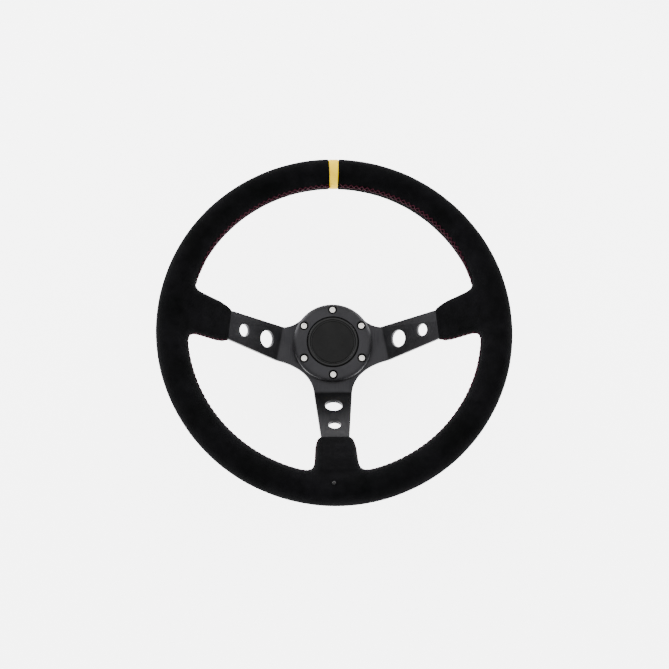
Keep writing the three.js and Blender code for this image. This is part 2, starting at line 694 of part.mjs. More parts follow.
const COVERS = {
  upper_right: [SIDE_SEAM + SEAM_HALF, Math.PI / 2 - BAND_HALF - 2 * SEAM_HALF],
  upper_left: [Math.PI / 2 + BAND_HALF + 2 * SEAM_HALF, Math.PI - SIDE_SEAM - SEAM_HALF],
  lower_left: [Math.PI - SIDE_SEAM + SEAM_HALF, 1.5 * Math.PI - SEAM_HALF],
  lower_right: [1.5 * Math.PI + SEAM_HALF, TURN + SIDE_SEAM - SEAM_HALF],
};

Object.entries(COVERS).forEach(([name, [from, to]]) => {
  add(`rim_cover_${name}`, COVER_SHELL.intersect(wedge(from, to)), 'suede');
});

const bandShell = rimRing(BAND_RECESS).subtract(rimRing(COVER_THICKNESS));
add('centre_band', bandShell.intersect(wedge(Math.PI / 2 - BAND_HALF, Math.PI / 2 + BAND_HALF)), 'band');

add('rim_stud', atStud(turnedGeometry([
  [0, -4],
  [STUD_RADIUS, -4],
  [STUD_RADIUS, 0.3],
  [1.6, 0.3],
  [1.5, 0.8],
  [0.8, 1.1],
  [0, 1.2],
], 8)), 'steel');

// ---------------------------------------------------------------- suede over the spokes

// Rings of points joined one to the next and closed at both ends.
function lofted(rings) {
  const sides = rings[0].length;
  const places = rings.flat().flatMap((point) => point.toArray());
  const index = [];
  for (let ring = 0; ring < rings.length - 1; ring += 1) {
    for (let side = 0; side < sides; side += 1) {
      const a = ring * sides + side;
      const b = ring * sides + ((side + 1) % sides);
      index.push(a, b, b + sides, a, b + sides, a + sides);
    }
  }
  const last = (rings.length - 1) * sides;
  for (let side = 1; side < sides - 1; side += 1) {
    index.push(0, side + 1, side);
    index.push(last, last + side, last + side + 1);
  }
  const geometry = new THREE.BufferGeometry();
  geometry.setAttribute('position', new THREE.Float32BufferAttribute(places, 3));
  geometry.setIndex(index);
  return geometry;
}

// The padded suede swells quickly from the metal's edge, then flares out to run along the rim.
const COVER_SECTIONS = [
  { at: COVER_START, halfWidth: 16.2, halfDepth: 3.5 },
  { at: 111, halfWidth: 18, halfDepth: 5.5 },
  { at: 118, halfWidth: 19.6, halfDepth: 7.5 },
  { at: 131, halfWidth: 20.4, halfDepth: 9.5 },
  { at: 138, halfWidth: 23.5, halfDepth: 11 },
  { at: 146, halfWidth: 33, halfDepth: 12 },
  { at: 153, halfWidth: 36, halfDepth: 12 },
];

// One section across a spoke cover, a rectangle with cut corners.
function coverSection(spoke, { at, halfWidth, halfDepth }) {
  const cut = 0.55 * halfDepth;
  const middle = PLATE_FRONT - PLATE_THICKNESS / 2 + (at - spoke.fold) * Math.tan(DISH_ANGLE);
  const height = Math.min(middle, SPOKE_END_FRONT - PLATE_THICKNESS / 2);
  const corners = [
    [halfWidth, halfDepth - cut],
    [halfWidth - cut, halfDepth],
    [cut - halfWidth, halfDepth],
    [-halfWidth, halfDepth - cut],
    [-halfWidth, cut - halfDepth],
    [cut - halfWidth, -halfDepth],
    [halfWidth - cut, -halfDepth],
    [halfWidth, cut - halfDepth],
  ];
  return corners.map(([across, depth]) => {
    const place = onSpoke(spoke, at, across);
    return new THREE.Vector3(place.x, place.y, height + depth);
  });
}

function spokeCover(spoke) {
  const sections = COVER_SECTIONS.map((section) => coverSection(spoke, section));
  return without(solid(lofted(sections)), [
    plateSpace(spoke, COVER_START - 2, COVER_START + TAPER_LENGTH + 2, spoke.coverHalf),
    plateSpace(spoke, COVER_START, SPOKE_END, SPOKE_END_HALF_WIDTH),
    rimRing(-GAP),
  ]);
}

Object.entries(SPOKES).forEach(([name, spoke]) => {
  add(`spoke_cover_${name}`, spokeCover(spoke), 'suede');
});

// ---------------------------------------------------------------- ring and screws on the hub

function retainingRing() {
  const { width, drop } = RING_SHOULDER;
  const shoulder = around(16, 0, (angle) => [
    RING_RADIUS - width + width * Math.cos(angle),
    RING_FRONT - drop + drop * Math.sin(angle),
  ]).slice(0, 5);
  const body = turned([
    [RING_POCKET, PLATE_FRONT + GAP],
    [RING_RADIUS, PLATE_FRONT + GAP],
    ...shoulder,
    [RING_OPENING + 1, RING_FRONT],
    [RING_OPENING, RING_FRONT - 1],
    [RING_OPENING, RING_LIP_BACK],
    [RING_POCKET, RING_LIP_BACK],
  ], 32);
  const seat = BOLT_HEAD_TOP - BOLT_HEAD_HEIGHT - GAP;
  return without(body, [
    ...boltHoles(BOLT_HOLE_RADIUS, PLATE_FRONT, RING_FRONT, 10),
    ...boltHoles(COUNTERBORE_RADIUS, seat, RING_FRONT + 1, 14),
  ]);
}

add('horn_ring', retainingRing(), 'ring');

function hubBolt() {
  const low = BOLT_HEAD_TOP - BOLT_HEAD_HEIGHT;
  const tip = COUPLER_FLANGE_BACK + 0.7;
  const bolt = turned([
    [0, tip],
    [BOLT_RADIUS, tip],
    [BOLT_RADIUS, low],
    [BOLT_HEAD_RADIUS, low],
    [BOLT_HEAD_RADIUS, BOLT_HEAD_TOP - 0.6],
    [BOLT_HEAD_RADIUS - 0.6, BOLT_HEAD_TOP],
    [0, BOLT_HEAD_TOP],
  ], 12);
  const socket = disc(HEX_KEY / 2 / Math.cos(30 * DEGREE), BOLT_HEAD_TOP - 2.6, BOLT_HEAD_TOP + 1, 6);
  return bolt.subtract(socket);
}

const boltGeometry = geometryOf(hubBolt());
around(BOLT_COUNT, 30 * DEGREE, (angle, i) => {
  const x = BOLT_CIRCLE_RADIUS * Math.cos(angle);
  const y = BOLT_CIRCLE_RADIUS * Math.sin(angle);
  add(`hub_bolt_${i + 1}`, boltGeometry.clone().translate(x, y, 0), 'screw');
});

// ---------------------------------------------------------------- horn button

const BASE_FLANGE_TOP = PLATE_FRONT + GAP + 1.3;
const BASE_FLOOR = [42.2, 43.7];
const SKIRT_RADIUS = RING_POCKET - 0.4;
const SKIRT = [54, RING_LIP_BACK - GAP];
const CAP_UNDERSIDE = 56.5;
const CAP_BEAD_TOP = 60.3;
const BADGE_FRONT = 59.4;
const BLADE = { width: 4.8, thickness: 0.8, bottom: 34 };
const LIVE_BLADE_AT = 5;
const EARTH_BLADE_AT = -8;
const LIVE_TOP = 50;

function hornCap() {
  return turnedGeometry([
    [0, CAP_UNDERSIDE],
    [BUTTON_RADIUS - 2.4, CAP_UNDERSIDE],
    [BUTTON_RADIUS - 2.4, SKIRT[0]],
    [SKIRT_RADIUS, SKIRT[0]],
    [SKIRT_RADIUS, SKIRT[1]],
    [BUTTON_RADIUS, SKIRT[1]],
    [BUTTON_RADIUS, CAP_BEAD_TOP - 1.2],
    [BUTTON_RADIUS - 0.5, CAP_BEAD_TOP - 0.3],
    [BUTTON_RADIUS - 1.3, CAP_BEAD_TOP],
    [BUTTON_RADIUS - 2.2, CAP_BEAD_TOP - 0.4],
    [BADGE_RADIUS + 0.4, BADGE_FRONT],
    [BADGE_RADIUS + GAP, BADGE_FRONT - 0.2],
    [BADGE_RADIUS + GAP, BADGE_FRONT - 1.3],
    [0, BADGE_FRONT - 1.3],
  ], 36);
}

add('horn_cap', hornCap(), 'button');

add('horn_badge', turnedGeometry([
  [0, BADGE_FRONT - 1],
  [BADGE_RADIUS, BADGE_FRONT - 1],
  [BADGE_RADIUS, BADGE_FRONT - 0.3],
  [BADGE_RADIUS - 0.3, BADGE_FRONT],
  [0, BADGE_FRONT],
], 36), 'badge');

function hornBase() {
  const cup = turned([
    [0, BASE_FLOOR[0]],
    [HUB_OPENING_RADIUS - 0.4, BASE_FLOOR[0]],
    [HUB_OPENING_RADIUS - 0.4, PLATE_FRONT + GAP],
    [SKIRT_RADIUS, PLATE_FRONT + GAP],
    [SKIRT_RADIUS, BASE_FLANGE_TOP],
    [HUB_OPENING_RADIUS - 2, BASE_FLANGE_TOP],
    [HUB_OPENING_RADIUS - 2, BASE_FLOOR[1]],
    [0, BASE_FLOOR[1]],
  ], 28);
  const slots = [LIVE_BLADE_AT, EARTH_BLADE_AT].map((x) => box(
    BLADE.thickness + 2 * GAP, BLADE.width + 2 * GAP, 40, 46, x, 0,
  ));
  return without(cup, slots);
}

add('horn_base', hornBase(), 'insulator');

const CONTACT_SEAT = BASE_FLOOR[1] + GAP;
const SPRING_SEAT_TOP = CONTACT_SEAT + 0.7;

function liveContact() {
  const stud = turned([
    [0, CONTACT_SEAT],
    [6.5, CONTACT_SEAT],
    [6.5, SPRING_SEAT_TOP],
    [2.5, SPRING_SEAT_TOP],
    [2.5, LIVE_TOP - 0.8],
    [1.5, LIVE_TOP],
    [0, LIVE_TOP],
  ], 14);
  return stud.add(box(BLADE.thickness, BLADE.width, BLADE.bottom, SPRING_SEAT_TOP - 0.1, LIVE_BLADE_AT, 0));
}

add('horn_live_contact', liveContact(), 'brass');

function earthContact() {
  const seat = turned([
    [12.5, CONTACT_SEAT],
    [18, CONTACT_SEAT],
    [18, SPRING_SEAT_TOP],
    [12.5, SPRING_SEAT_TOP],
  ], 20);
  const armEnd = EARTH_BLADE_AT + BLADE.thickness / 2;
  const armStart = -13.5;
  const arm = box(
    armEnd - armStart, BLADE.width, CONTACT_SEAT, SPRING_SEAT_TOP, (armStart + armEnd) / 2, 0,
  );
  const blade = box(BLADE.thickness, BLADE.width, BLADE.bottom, SPRING_SEAT_TOP, EARTH_BLADE_AT, 0);
  return seat.add(arm).add(blade);
}

add('horn_earth_contact', earthContact(), 'brass');

const MOVING_CONTACT_TOP = CAP_UNDERSIDE - GAP;
const MOVING_CONTACT_BOTTOM = MOVING_CONTACT_TOP - 0.8;

add('horn_moving_contact', turnedGeometry([
  [0, LIVE_TOP + BUTTON_TRAVEL + 0.1],
  [1.8, LIVE_TOP + BUTTON_TRAVEL + 0.1],
  [3, LIVE_TOP + BUTTON_TRAVEL + 0.9],
  [3, MOVING_CONTACT_BOTTOM],
  [18, MOVING_CONTACT_BOTTOM],
  [18, MOVING_CONTACT_TOP],
  [0, MOVING_CONTACT_TOP],
], 20), 'brass');

add('horn_spring', coil(15.2, 0.6, SPRING_SEAT_TOP + GAP, MOVING_CONTACT_BOTTOM - GAP, 3.5), 'steel');

export default group;
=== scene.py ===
"""Finish of a dished three-spoke racing steering wheel on a quick release hub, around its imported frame.

Lengths are millimetres in the frame's axes (+Z towards the driver, +Y to twelve o'clock) while a
shape is worked out, and become metres as its mesh is made.
"""

import math

import bmesh
import bpy
import numpy as np
from mathutils import Matrix, Vector


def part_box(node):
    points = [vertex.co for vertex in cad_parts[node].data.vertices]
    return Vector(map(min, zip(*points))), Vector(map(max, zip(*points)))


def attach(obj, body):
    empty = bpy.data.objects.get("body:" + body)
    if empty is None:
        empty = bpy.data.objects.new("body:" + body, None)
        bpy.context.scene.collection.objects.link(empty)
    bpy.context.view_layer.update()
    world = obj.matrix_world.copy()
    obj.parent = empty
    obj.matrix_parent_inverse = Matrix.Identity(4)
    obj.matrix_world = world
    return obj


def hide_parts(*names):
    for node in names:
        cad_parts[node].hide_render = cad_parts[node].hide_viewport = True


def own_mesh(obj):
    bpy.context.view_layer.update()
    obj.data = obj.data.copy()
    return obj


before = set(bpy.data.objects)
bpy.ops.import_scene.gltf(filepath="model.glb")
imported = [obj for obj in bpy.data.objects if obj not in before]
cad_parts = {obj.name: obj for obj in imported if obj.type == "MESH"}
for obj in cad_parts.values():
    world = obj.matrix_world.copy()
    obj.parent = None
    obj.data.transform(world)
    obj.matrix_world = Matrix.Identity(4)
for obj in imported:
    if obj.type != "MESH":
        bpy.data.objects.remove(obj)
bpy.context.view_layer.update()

MM = 0.001
DEGREE = math.pi / 180
TURN = 2 * math.pi


def low(node):
    """A CAD node's lowest corner, in millimetres."""
    return np.array(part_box(node)[0]) / MM


def high(node):
    """A CAD node's highest corner, in millimetres."""
    return np.array(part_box(node)[1]) / MM


def heights(node):
    """A CAD node's lowest and highest height."""
    return low(node)[2], high(node)[2]


# ------------------------------------------------------------------ sizes

WHEEL_RADIUS = -low("rim_cover_lower_left")[0]
RIM_HALF_WIDTH = 15.2
RIM_BACK, RIM_FRONT = heights("rim_cover_upper_left")
RIM_HALF_DEPTH = (RIM_FRONT - RIM_BACK) / 2
RIM_RADIUS = WHEEL_RADIUS - RIM_HALF_WIDTH
RIM_HEIGHT = RIM_FRONT - RIM_HALF_DEPTH
BAND_RECESS = 0.45
BAND_HALF = high("centre_band")[0] - BAND_RECESS

PLATE_BACK, SPOKE_END_FRONT = heights("spoke_plate")
PLATE_THICKNESS = 4
PLATE_FRONT = PLATE_BACK + PLATE_THICKNESS
PLATE_ROUND = 0.25
HUB_RADIUS = 42.5
HUB_OPENING = 25.6
DISH_ANGLE = 42 * DEGREE
BEND_RADIUS = 6
SPOKE_END = 163
SPOKE_END_HALF_WIDTH = 13
COVER_START = 105.5
TAPER_LENGTH = 8
SIDE_SPOKE_RISE = 10.3 * DEGREE
SIDE_SPOKE_OFFSET = 9.4
LARGE_HOLE = (69.4, 8.9)    # distance out along the spoke, and radius
SMALL_HOLE = (92.4, 6.3)

BOLT_RADIUS = 35            # from the axis to each screw
BOLT_COUNT = 6
FIRST_BOLT = 30 * DEGREE
CLEARANCE_HOLE = 2.8
BOLT_TOP = high("hub_bolt_1")[2]
RING_BACK, RING_FRONT = heights("horn_ring")
RING_RADIUS = high("horn_ring")[0]
RING_OPENING = 26.95
RING_SHOULDER = 9.6         # radius of the ring's rounded outer shoulder
SHOULDER_ANGLE = 43 * DEGREE


# ------------------------------------------------------------------ meshes

def add_object(name, data):
    obj = bpy.data.objects.new(name, data)
    bpy.context.scene.collection.objects.link(obj)
    return obj


def add_mesh(name, points, faces, sharp=35):
    """A cleaned mesh object from points in millimetres."""
    mesh = bpy.data.meshes.new(name)
    mesh.from_pydata((np.asarray(points, float) * MM).tolist(), [], [list(f) for f in faces])
    mesh.validate()
    obj = add_object(name, mesh)
    clean(obj, sharp)
    return obj


def clean(obj, sharp):
    """Merges doubled points, turns faces outwards, and shades smooth except across sharp edges."""
    work = bmesh.new()
    work.from_mesh(obj.data)
    bmesh.ops.remove_doubles(work, verts=work.verts, dist=1e-7)
    bmesh.ops.recalc_face_normals(work, faces=work.faces)
    work.to_mesh(obj.data)
    work.free()
    obj.data.shade_smooth()
    obj.data.set_sharp_from_angle(angle=sharp * DEGREE)


def bridge(rings, closed):
    """Faces joining each ring of point numbers to the next. A ring may be a single point."""
    pairs = list(zip(rings[:-1], rings[1:]))
    if closed:
        pairs.append((rings[-1], rings[0]))
    faces = []
    for a, b in pairs:
        count = max(len(a), len(b))
        for i in range(count):
            j = (i + 1) % count
            face = a[i % len(a)], a[j % len(a)], b[j % len(b)], b[i % len(b)]
            faces.append(tuple(dict.fromkeys(face)))
    return faces


def lathe(profile, steps, closed=True):
    """Points and faces of a profile turned about Z. A radius may be a function of the angle."""
    angles = np.arange(steps) * TURN / steps
    points, rings = [], []
    for radius, height in profile:
        if not callable(radius) and radius == 0:
            rings.append([len(points)])
            points.append((0.0, 0.0, height))
            continue
        r = radius(angles) if callable(radius) else np.full(steps, float(radius))
        rings.append(list(range(len(points), len(points) + steps)))
        points += list(zip(r * np.cos(angles), r * np.sin(angles), np.full(steps, float(height))))
    return points, bridge(rings, closed)


def rounded(corners, radius=0.4, parts=3, closed=True):
    """A profile with each corner replaced by a short arc. A third value sets a corner's own radius."""
    count = len(corners)
    made = []
    for i, corner in enumerate(corners):
        here = np.array(corner[:2], float)
        own = corner[2] if len(corner) > 2 else radius
        ends = not closed and i in (0, count - 1)
        before = np.array(corners[i - 1][:2], float) - here
        after = np.array(corners[(i + 1) % count][:2], float) - here
        if ends or own == 0 or here[0] == 0:
            made.append(tuple(here))
            continue
        reach_a, reach_b = np.linalg.norm(before), np.linalg.norm(after)
        before, after = before / reach_a, after / reach_b
        half = math.acos(np.clip(before @ after, -1, 1)) / 2
        cut = min(own / math.tan(half), 0.45 * reach_a, 0.45 * reach_b)
        start, end = here + before * cut, here + after * cut
        for k in range(parts + 1):
            t = k / parts
            made.append(tuple((1 - t) ** 2 * start + 2 * t * (1 - t) * here + t ** 2 * end))
    return made


def turned(name, corners, steps=96, radius=0.4, sharp=35, closed=True):
    """An object turned about Z from a profile with rounded corners."""
    return add_mesh(name, *lathe(rounded(corners, radius, closed=closed), steps, closed), sharp)


def evaluated(obj):
    """The mesh that an object's modifiers or curve make of it."""
    graph = bpy.context.evaluated_depsgraph_get()
    graph.update()
    return bpy.data.meshes.new_from_object(obj.evaluated_get(graph))


def cut(obj, cutters, sharp=35):
    """Cuts the cutter objects out of obj and removes them."""
    gone = bpy.data.collections.new("cutters")
    for cutter in cutters:
        gone.objects.link(cutter)
    boolean = obj.modifiers.new("cut", "BOOLEAN")
    boolean.operation = "DIFFERENCE"
    boolean.operand_type = "COLLECTION"
    boolean.collection = gone
    boolean.solver = "EXACT"
    mesh = evaluated(obj)
    obj.modifiers.clear()
    obj.data = mesh
    for cutter in cutters:
        bpy.data.objects.remove(cutter)
    bpy.data.collections.remove(gone)
    clean(obj, sharp)


def moved(obj, matrix):
    obj.data.transform(matrix)
    obj.data.update()
    return obj


def shift(x, y, z=0.0):
    return Matrix.Translation(Vector((x, y, z)) * MM)


def spin(angle):
    return Matrix.Rotation(angle, 4, "Z")


def around(count, start, make):
    """What make gives for each of count angles spread evenly round the axis."""
    return [make(start + i * TURN / count) for i in range(count)]


def on_circle(radius, angle):
    return radius * np.array((math.cos(angle), math.sin(angle)))


def copy_of(obj, name, matrix):
    return moved(add_object(name, obj.data.copy()), matrix)


def piece(obj, material, body, slot, *replaced):
    """Gives a finished object its material and body, and hides the CAD nodes it stands for; the slot is not
    used.
    """
    obj.data.materials.clear()
    obj.data.materials.append(material)
    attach(obj, body)
    if replaced:
        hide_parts(*replaced)


def tube(points, radius, sides=8, closed=False):
    """Points and faces of a round tube along a path, with round ends."""
    path = np.asarray(points, float)
    if closed:
        tangent = np.roll(path, -1, 0) - np.roll(path, 1, 0)
    else:
        tangent = np.gradient(path, axis=0)
    tangent /= np.linalg.norm(tangent, axis=1)[:, None]
    normal = np.zeros_like(path)
    side = np.cross(tangent[0], (0.3, 0.5, 0.8))
    for i, t in enumerate(tangent):
        side = side - (side @ t) * t
        side /= np.linalg.norm(side)
        normal[i] = side
    other = np.cross(tangent, normal)
    angles = np.arange(sides) * TURN / sides
    stations = [(at, i, 1) for i, at in enumerate(path)]
    if not closed:
        for lift, scale in ((0.5, 0.85), (0.9, 0.45)):
            stations.insert(0, (path[0] - tangent[0] * radius * lift, 0, scale))
            stations.append((path[-1] + tangent[-1] * radius * lift, -1, scale))
    made = [
        at + radius * scale * (math.cos(a) * normal[i] + math.sin(a) * other[i])
        for at, i, scale in stations for a in angles
    ]
    rings = np.arange(len(made)).reshape(-1, sides).tolist()
    faces = bridge(rings, closed)
    if not closed:
        faces += [tuple(reversed(rings[0])), tuple(rings[-1])]
    return made, faces


def capped_tube(grid):
    """Points and faces of a tube given as rows of closed sections, with both ends filled in."""
    rows, count = grid.shape[:2]
    after = [(j + 1) % count for j in range(count)]
    faces = [
        (i * count + j, (i + 1) * count + j, (i + 1) * count + after[j], i * count + after[j])
        for i in range(rows - 1) for j in range(count)
    ]
    first_middle, last_middle, last = rows * count, rows * count + 1, (rows - 1) * count
    for j in range(count):
        faces.append((first_middle, j, after[j]))
        faces.append((last_middle, last + after[j], last + j))
    return np.vstack([grid.reshape(-1, 3), grid[0].mean(0), grid[-1].mean(0)]), faces


def many(parts):
    """Several (points, faces) joined into one."""
    points, faces = [], []
    for part_points, part_faces in parts:
        start = len(points)
        points += list(part_points)
        faces += [tuple(start + i for i in face) for face in part_faces]
    return points, faces


# ------------------------------------------------------------------ materials

class Paint:
    """A node material built around one Principled shader."""

    def __init__(self, name, color, roughness, metallic=0.0, **sockets):
        self.material = bpy.data.materials.new(name)
        self.material.use_nodes = True
        self.tree = self.material.node_tree
        self.shader = self.tree.nodes["Principled BSDF"]
        self.set(self.shader, {"Base Color": (*color, 1), "Roughness": roughness, "Metallic": metallic})
        self.set(self.shader, sockets)
        self.place = self.tree.nodes.new("ShaderNodeTexCoord").outputs["Object"]

    def set(self, node, values):
        for name, value in values.items():
            node.inputs[name].default_value = value

    def node(self, kind, values=None, **settings):
        made = self.tree.nodes.new(kind)
        for name, value in settings.items():
            setattr(made, name, value)
        self.set(made, values or {})
        return made

    def link(self, output, node, name):
        self.tree.links.new(output, node.inputs[name])

    def stretched(self, scale):
        """The place on the object, scaled along each axis."""
        made = self.node("ShaderNodeMapping", {"Scale": scale})
        self.link(self.place, made, "Vector")
        return made.outputs["Vector"]

    def radial(self):
        """Distance from the steering axis."""
        flat = self.stretched((1, 1, 0))
        made = self.node("ShaderNodeVectorMath", operation="LENGTH")
        self.link(flat, made, "Vector")
        return made.outputs["Value"]

    def noise(self, scale, detail=3, roughness=0.5, place=None, value=None):
        values = {"Scale": scale, "Detail": detail, "Roughness": roughness}
        if value is not None:
            made = self.node("ShaderNodeTexNoise", values, noise_dimensions="1D")
            self.link(value, made, "W")
        else:
            made = self.node("ShaderNodeTexNoise", values)
            self.link(place or self.place, made, "Vector")
        return made.outputs["Fac"]

    def cells(self, scale):
        made = self.node("ShaderNodeTexVoronoi", {"Scale": scale})
        self.link(self.place, made, "Vector")
        return made.outputs["Distance"]

    def ramp(self, value, stops):
        made = self.node("ShaderNodeValToRGB")
        while len(made.color_ramp.elements) < len(stops):
            made.color_ramp.elements.new(0.5)
        for element, (at, color) in zip(made.color_ramp.elements, stops):
            element.position = at
            element.color = (*color, 1) if isinstance(color, tuple) else (color, color, color, 1)
        self.link(value, made, "Fac")
        return made.outputs["Color"]

    def multiplied(self, one, two):
        """One colour times another."""
        made = self.node("ShaderNodeMix", data_type="RGBA", blend_type="MULTIPLY")
        factor, first, second, result = made.inputs[0], made.inputs[6], made.inputs[7], made.outputs[2]
        factor.default_value = 1.0
        self.tree.links.new(one, first)
        self.tree.links.new(two, second)
        return result

    def added(self, one, two, factor):
        """one + two * factor"""
        made = self.node("ShaderNodeMath", {1: factor}, operation="MULTIPLY_ADD")
        self.link(two, made, 0)
        self.link(one, made, 2)
        return made.outputs["Value"]

    def bump(self, height, distance, strength=1.0):
        """Adds surface relief, distance in millimetres, over any that was added before."""
        made = self.node("ShaderNodeBump", {"Distance": distance * MM, "Strength": strength})
        self.link(height, made, "Height")
        before = self.shader.inputs["Normal"].links
        if before:
            self.link(before[0].from_socket, made, "Normal")
        self.link(made.outputs["Normal"], self.shader, "Normal")

    def color(self, output):
        self.link(output, self.shader, "Base Color")

    def rough(self, value, lowest, highest):
        made = self.node("ShaderNodeMapRange", {"To Min": lowest, "To Max": highest})
        self.link(value, made, "Value")
        self.link(made.outputs["Result"], self.shader, "Roughness")


def suede():
    """Black suede: brushed patches, short fibres and a faint sheen."""
    paint = Paint("suede", (0.003, 0.003, 0.003), 0.95, **{
        "Specular IOR Level": 0.015, "Sheen Weight": 0.008, "Sheen Roughness": 0.5,
        "Sheen Tint": (0.8, 0.8, 0.9, 1),
    })
    brushed = paint.noise(26, 4, 0.6)
    patches = paint.noise(95, 3, 0.6)
    fibre = paint.noise(2600, 2, 0.7)
    tone = paint.ramp(brushed, [(0.32, (0.0021, 0.0022, 0.0022)), (0.68, (0.0043, 0.0042, 0.0048))])
    worn = paint.ramp(patches, [(0.30, 0.72), (0.75, 1.3)])
    tone = paint.multiplied(tone, worn)
    speck = paint.ramp(fibre, [(0.3, 0.55), (0.72, 1.5)])
    paint.color(paint.multiplied(tone, speck))
    paint.rough(patches, 0.86, 1.0)
    paint.bump(paint.noise(150, 3, 0.55), 0.5, 0.5)
    paint.bump(paint.added(fibre, paint.noise(900, 2, 0.6), 0.8), 0.22, 0.9)
    return paint.material


def thread():
    """Crimson twisted thread."""
    paint = Paint("thread", (0.04, 0.003, 0.010), 0.6, **{
        "Specular IOR Level": 0.06, "Sheen Weight": 0.02, "Sheen Roughness": 0.4,
    })
    ply = paint.noise(1900, 2, 0.6)
    paint.color(paint.ramp(ply, [(0.3, (0.014, 0.0014, 0.004)), (0.7, (0.052, 0.005, 0.017))]))
    paint.bump(ply, 0.15, 0.8)
    return paint.material


def band_leather():
    """Yellow leather with pores and soft creases."""
    paint = Paint("band_leather", (0.80, 0.57, 0.06), 0.62, **{"Specular IOR Level": 0.08})
    tone = paint.ramp(paint.noise(120, 4, 0.6), [
        (0.28, (0.90, 0.56, 0.003)), (0.72, (0.98, 0.70, 0.006)),
    ])
    pores = paint.cells(1150)
    paint.color(paint.multiplied(tone, paint.ramp(pores, [(0.05, 0.86), (0.45, 1.0)])))
    paint.rough(paint.noise(300, 3), 0.52, 0.76)
    paint.bump(pores, 0.16, 0.75)
    paint.bump(paint.noise(240, 3), 0.3, 0.35)
    return paint.material


BRUSHED = (2600, 45, 2600)     # noise scale on each axis: long marks along Y


def anodised(name, dark, pale, rough, brushing=None):
    """Anodised aluminium, brushed, or else with turning marks round the axis."""
    paint = Paint(name, pale, sum(rough) / 2, 0.85)
    cloud = paint.noise(38, 4, 0.55)
    if brushing:
        marks = paint.noise(1, 4, 0.7, place=paint.stretched(brushing))
    else:
        marks = paint.noise(5200, 4, 0.75, value=paint.radial())
    tone = paint.ramp(paint.added(marks, cloud, 0.9), [(0.62, dark), (1.25, pale)])
    paint.color(tone)
    paint.rough(paint.added(marks, cloud, 0.5), rough[0], rough[1] + 0.12)
    paint.bump(marks, 0.02, 0.55)
    paint.bump(paint.noise(1800, 2), 0.012, 0.5)
    return paint.material


def bright_metal(name, dark, pale, rough, grain=700):
    """Bare or plated metal with faint handling smears."""
    paint = Paint(name, pale, rough, 1.0)
    smear = paint.noise(grain, 4, 0.6)
    paint.color(paint.ramp(smear, [(0.3, dark), (0.7, pale)]))
    paint.rough(paint.noise(grain / 3, 3), rough * 0.7, rough * 1.4)
    paint.bump(smear, 0.012, 0.5)
    return paint.material


def moulded(name, color, rough, grain=2200, depth=0.03, shine=0.4):
    """Plastic, rubber or foam with a fine moulded grain."""
    paint = Paint(name, color, rough, **{"Specular IOR Level": shine})
    pits = paint.noise(grain, 2, 0.5)
    paint.color(paint.ramp(paint.noise(60, 3), [
        (0.3, tuple(c * 0.8 for c in color)), (0.7, tuple(c * 1.2 for c in color)),
    ]))
    paint.rough(paint.noise(180, 3), rough * 0.85, rough * 1.15)
    paint.bump(pits, depth, 0.7)
    return paint.material


SUEDE = suede()
THREAD = thread()
BAND = band_leather()
PLATE = anodised(
    "plate_black", (0.0084, 0.0084, 0.0098), (0.0255, 0.025, 0.0275), (0.23, 0.33), BRUSHED)
RING = anodised("ring_black", (0.0105, 0.0105, 0.012), (0.028, 0.0275, 0.030), (0.26, 0.36))
COUPLER = anodised("coupler_black", (0.012, 0.012, 0.014), (0.034, 0.034, 0.038), (0.3, 0.42))
SLEEVE = anodised("sleeve_red", (0.085, 0.0015, 0.002), (0.19, 0.004, 0.005), (0.24, 0.34))
STEEL = bright_metal("turned_steel", (0.13, 0.13, 0.135), (0.24, 0.24, 0.25), 0.32)
BALL_STEEL = bright_metal("ball_steel", (0.62, 0.62, 0.63), (0.80, 0.80, 0.80), 0.10, 300)
SCREW = bright_metal("screw_zinc", (0.62, 0.60, 0.57), (0.86, 0.84, 0.80), 0.24, 900)
BRASS = bright_metal("brass", (0.48, 0.30, 0.09), (0.70, 0.48, 0.18), 0.30)
BUTTON = moulded("button_black", (0.006, 0.006, 0.0062), 0.30, shine=0.22)
BADGE = moulded("badge_black", (0.008, 0.008, 0.008), 0.50, 3200, 0.04, 0.08)
PHENOLIC = moulded("phenolic", (0.05, 0.028, 0.016), 0.55)
FOAM = moulded("foam", (0.03, 0.03, 0.032), 0.9, 900, 0.2)


# ------------------------------------------------------------------ spokes

class Spoke:
    """One spoke of the plate.

    It points at angle turn, its centre line offset to one side. It folds up at distance fold from the
    axis, and is fold_half wide to either side there and cover_half where the suede starts, whose edge
    is askew by cover_tilt degrees.
    """

    def __init__(self, name, turn, offset, fold, fold_half, cover_half, cover_tilt):
        self.name, self.turn, self.offset = name, turn, offset
        self.fold, self.fold_half, self.cover_half = fold, fold_half, cover_half
        self.cover_tilt = cover_tilt
        self.along = np.array((math.cos(turn), math.sin(turn)))
        self.across = np.array((-math.sin(turn), math.cos(turn)))

    def place(self, along, across):
        return along * self.along + (across + self.offset) * self.across

    def local(self, points):
        """(along, across) of points given in plan."""
        return points @ self.along, points @ self.across - self.offset

    def past_edge(self, along, across):
        """How far a point lies past the suede sleeve's edge, which runs a little askew."""
        return along - COVER_START + across * math.tan(self.cover_tilt * DEGREE)

    def middle(self, along):
        """Height of the middle of the sheet, rounded where it levels out inside the rim."""
        rise = PLATE_FRONT - PLATE_THICKNESS / 2 + (along - self.fold) * math.tan(DISH_ANGLE)
        level = RIM_HEIGHT - 1.5
        return rise - np.logaddexp(0, (rise - level) / 4) * 4


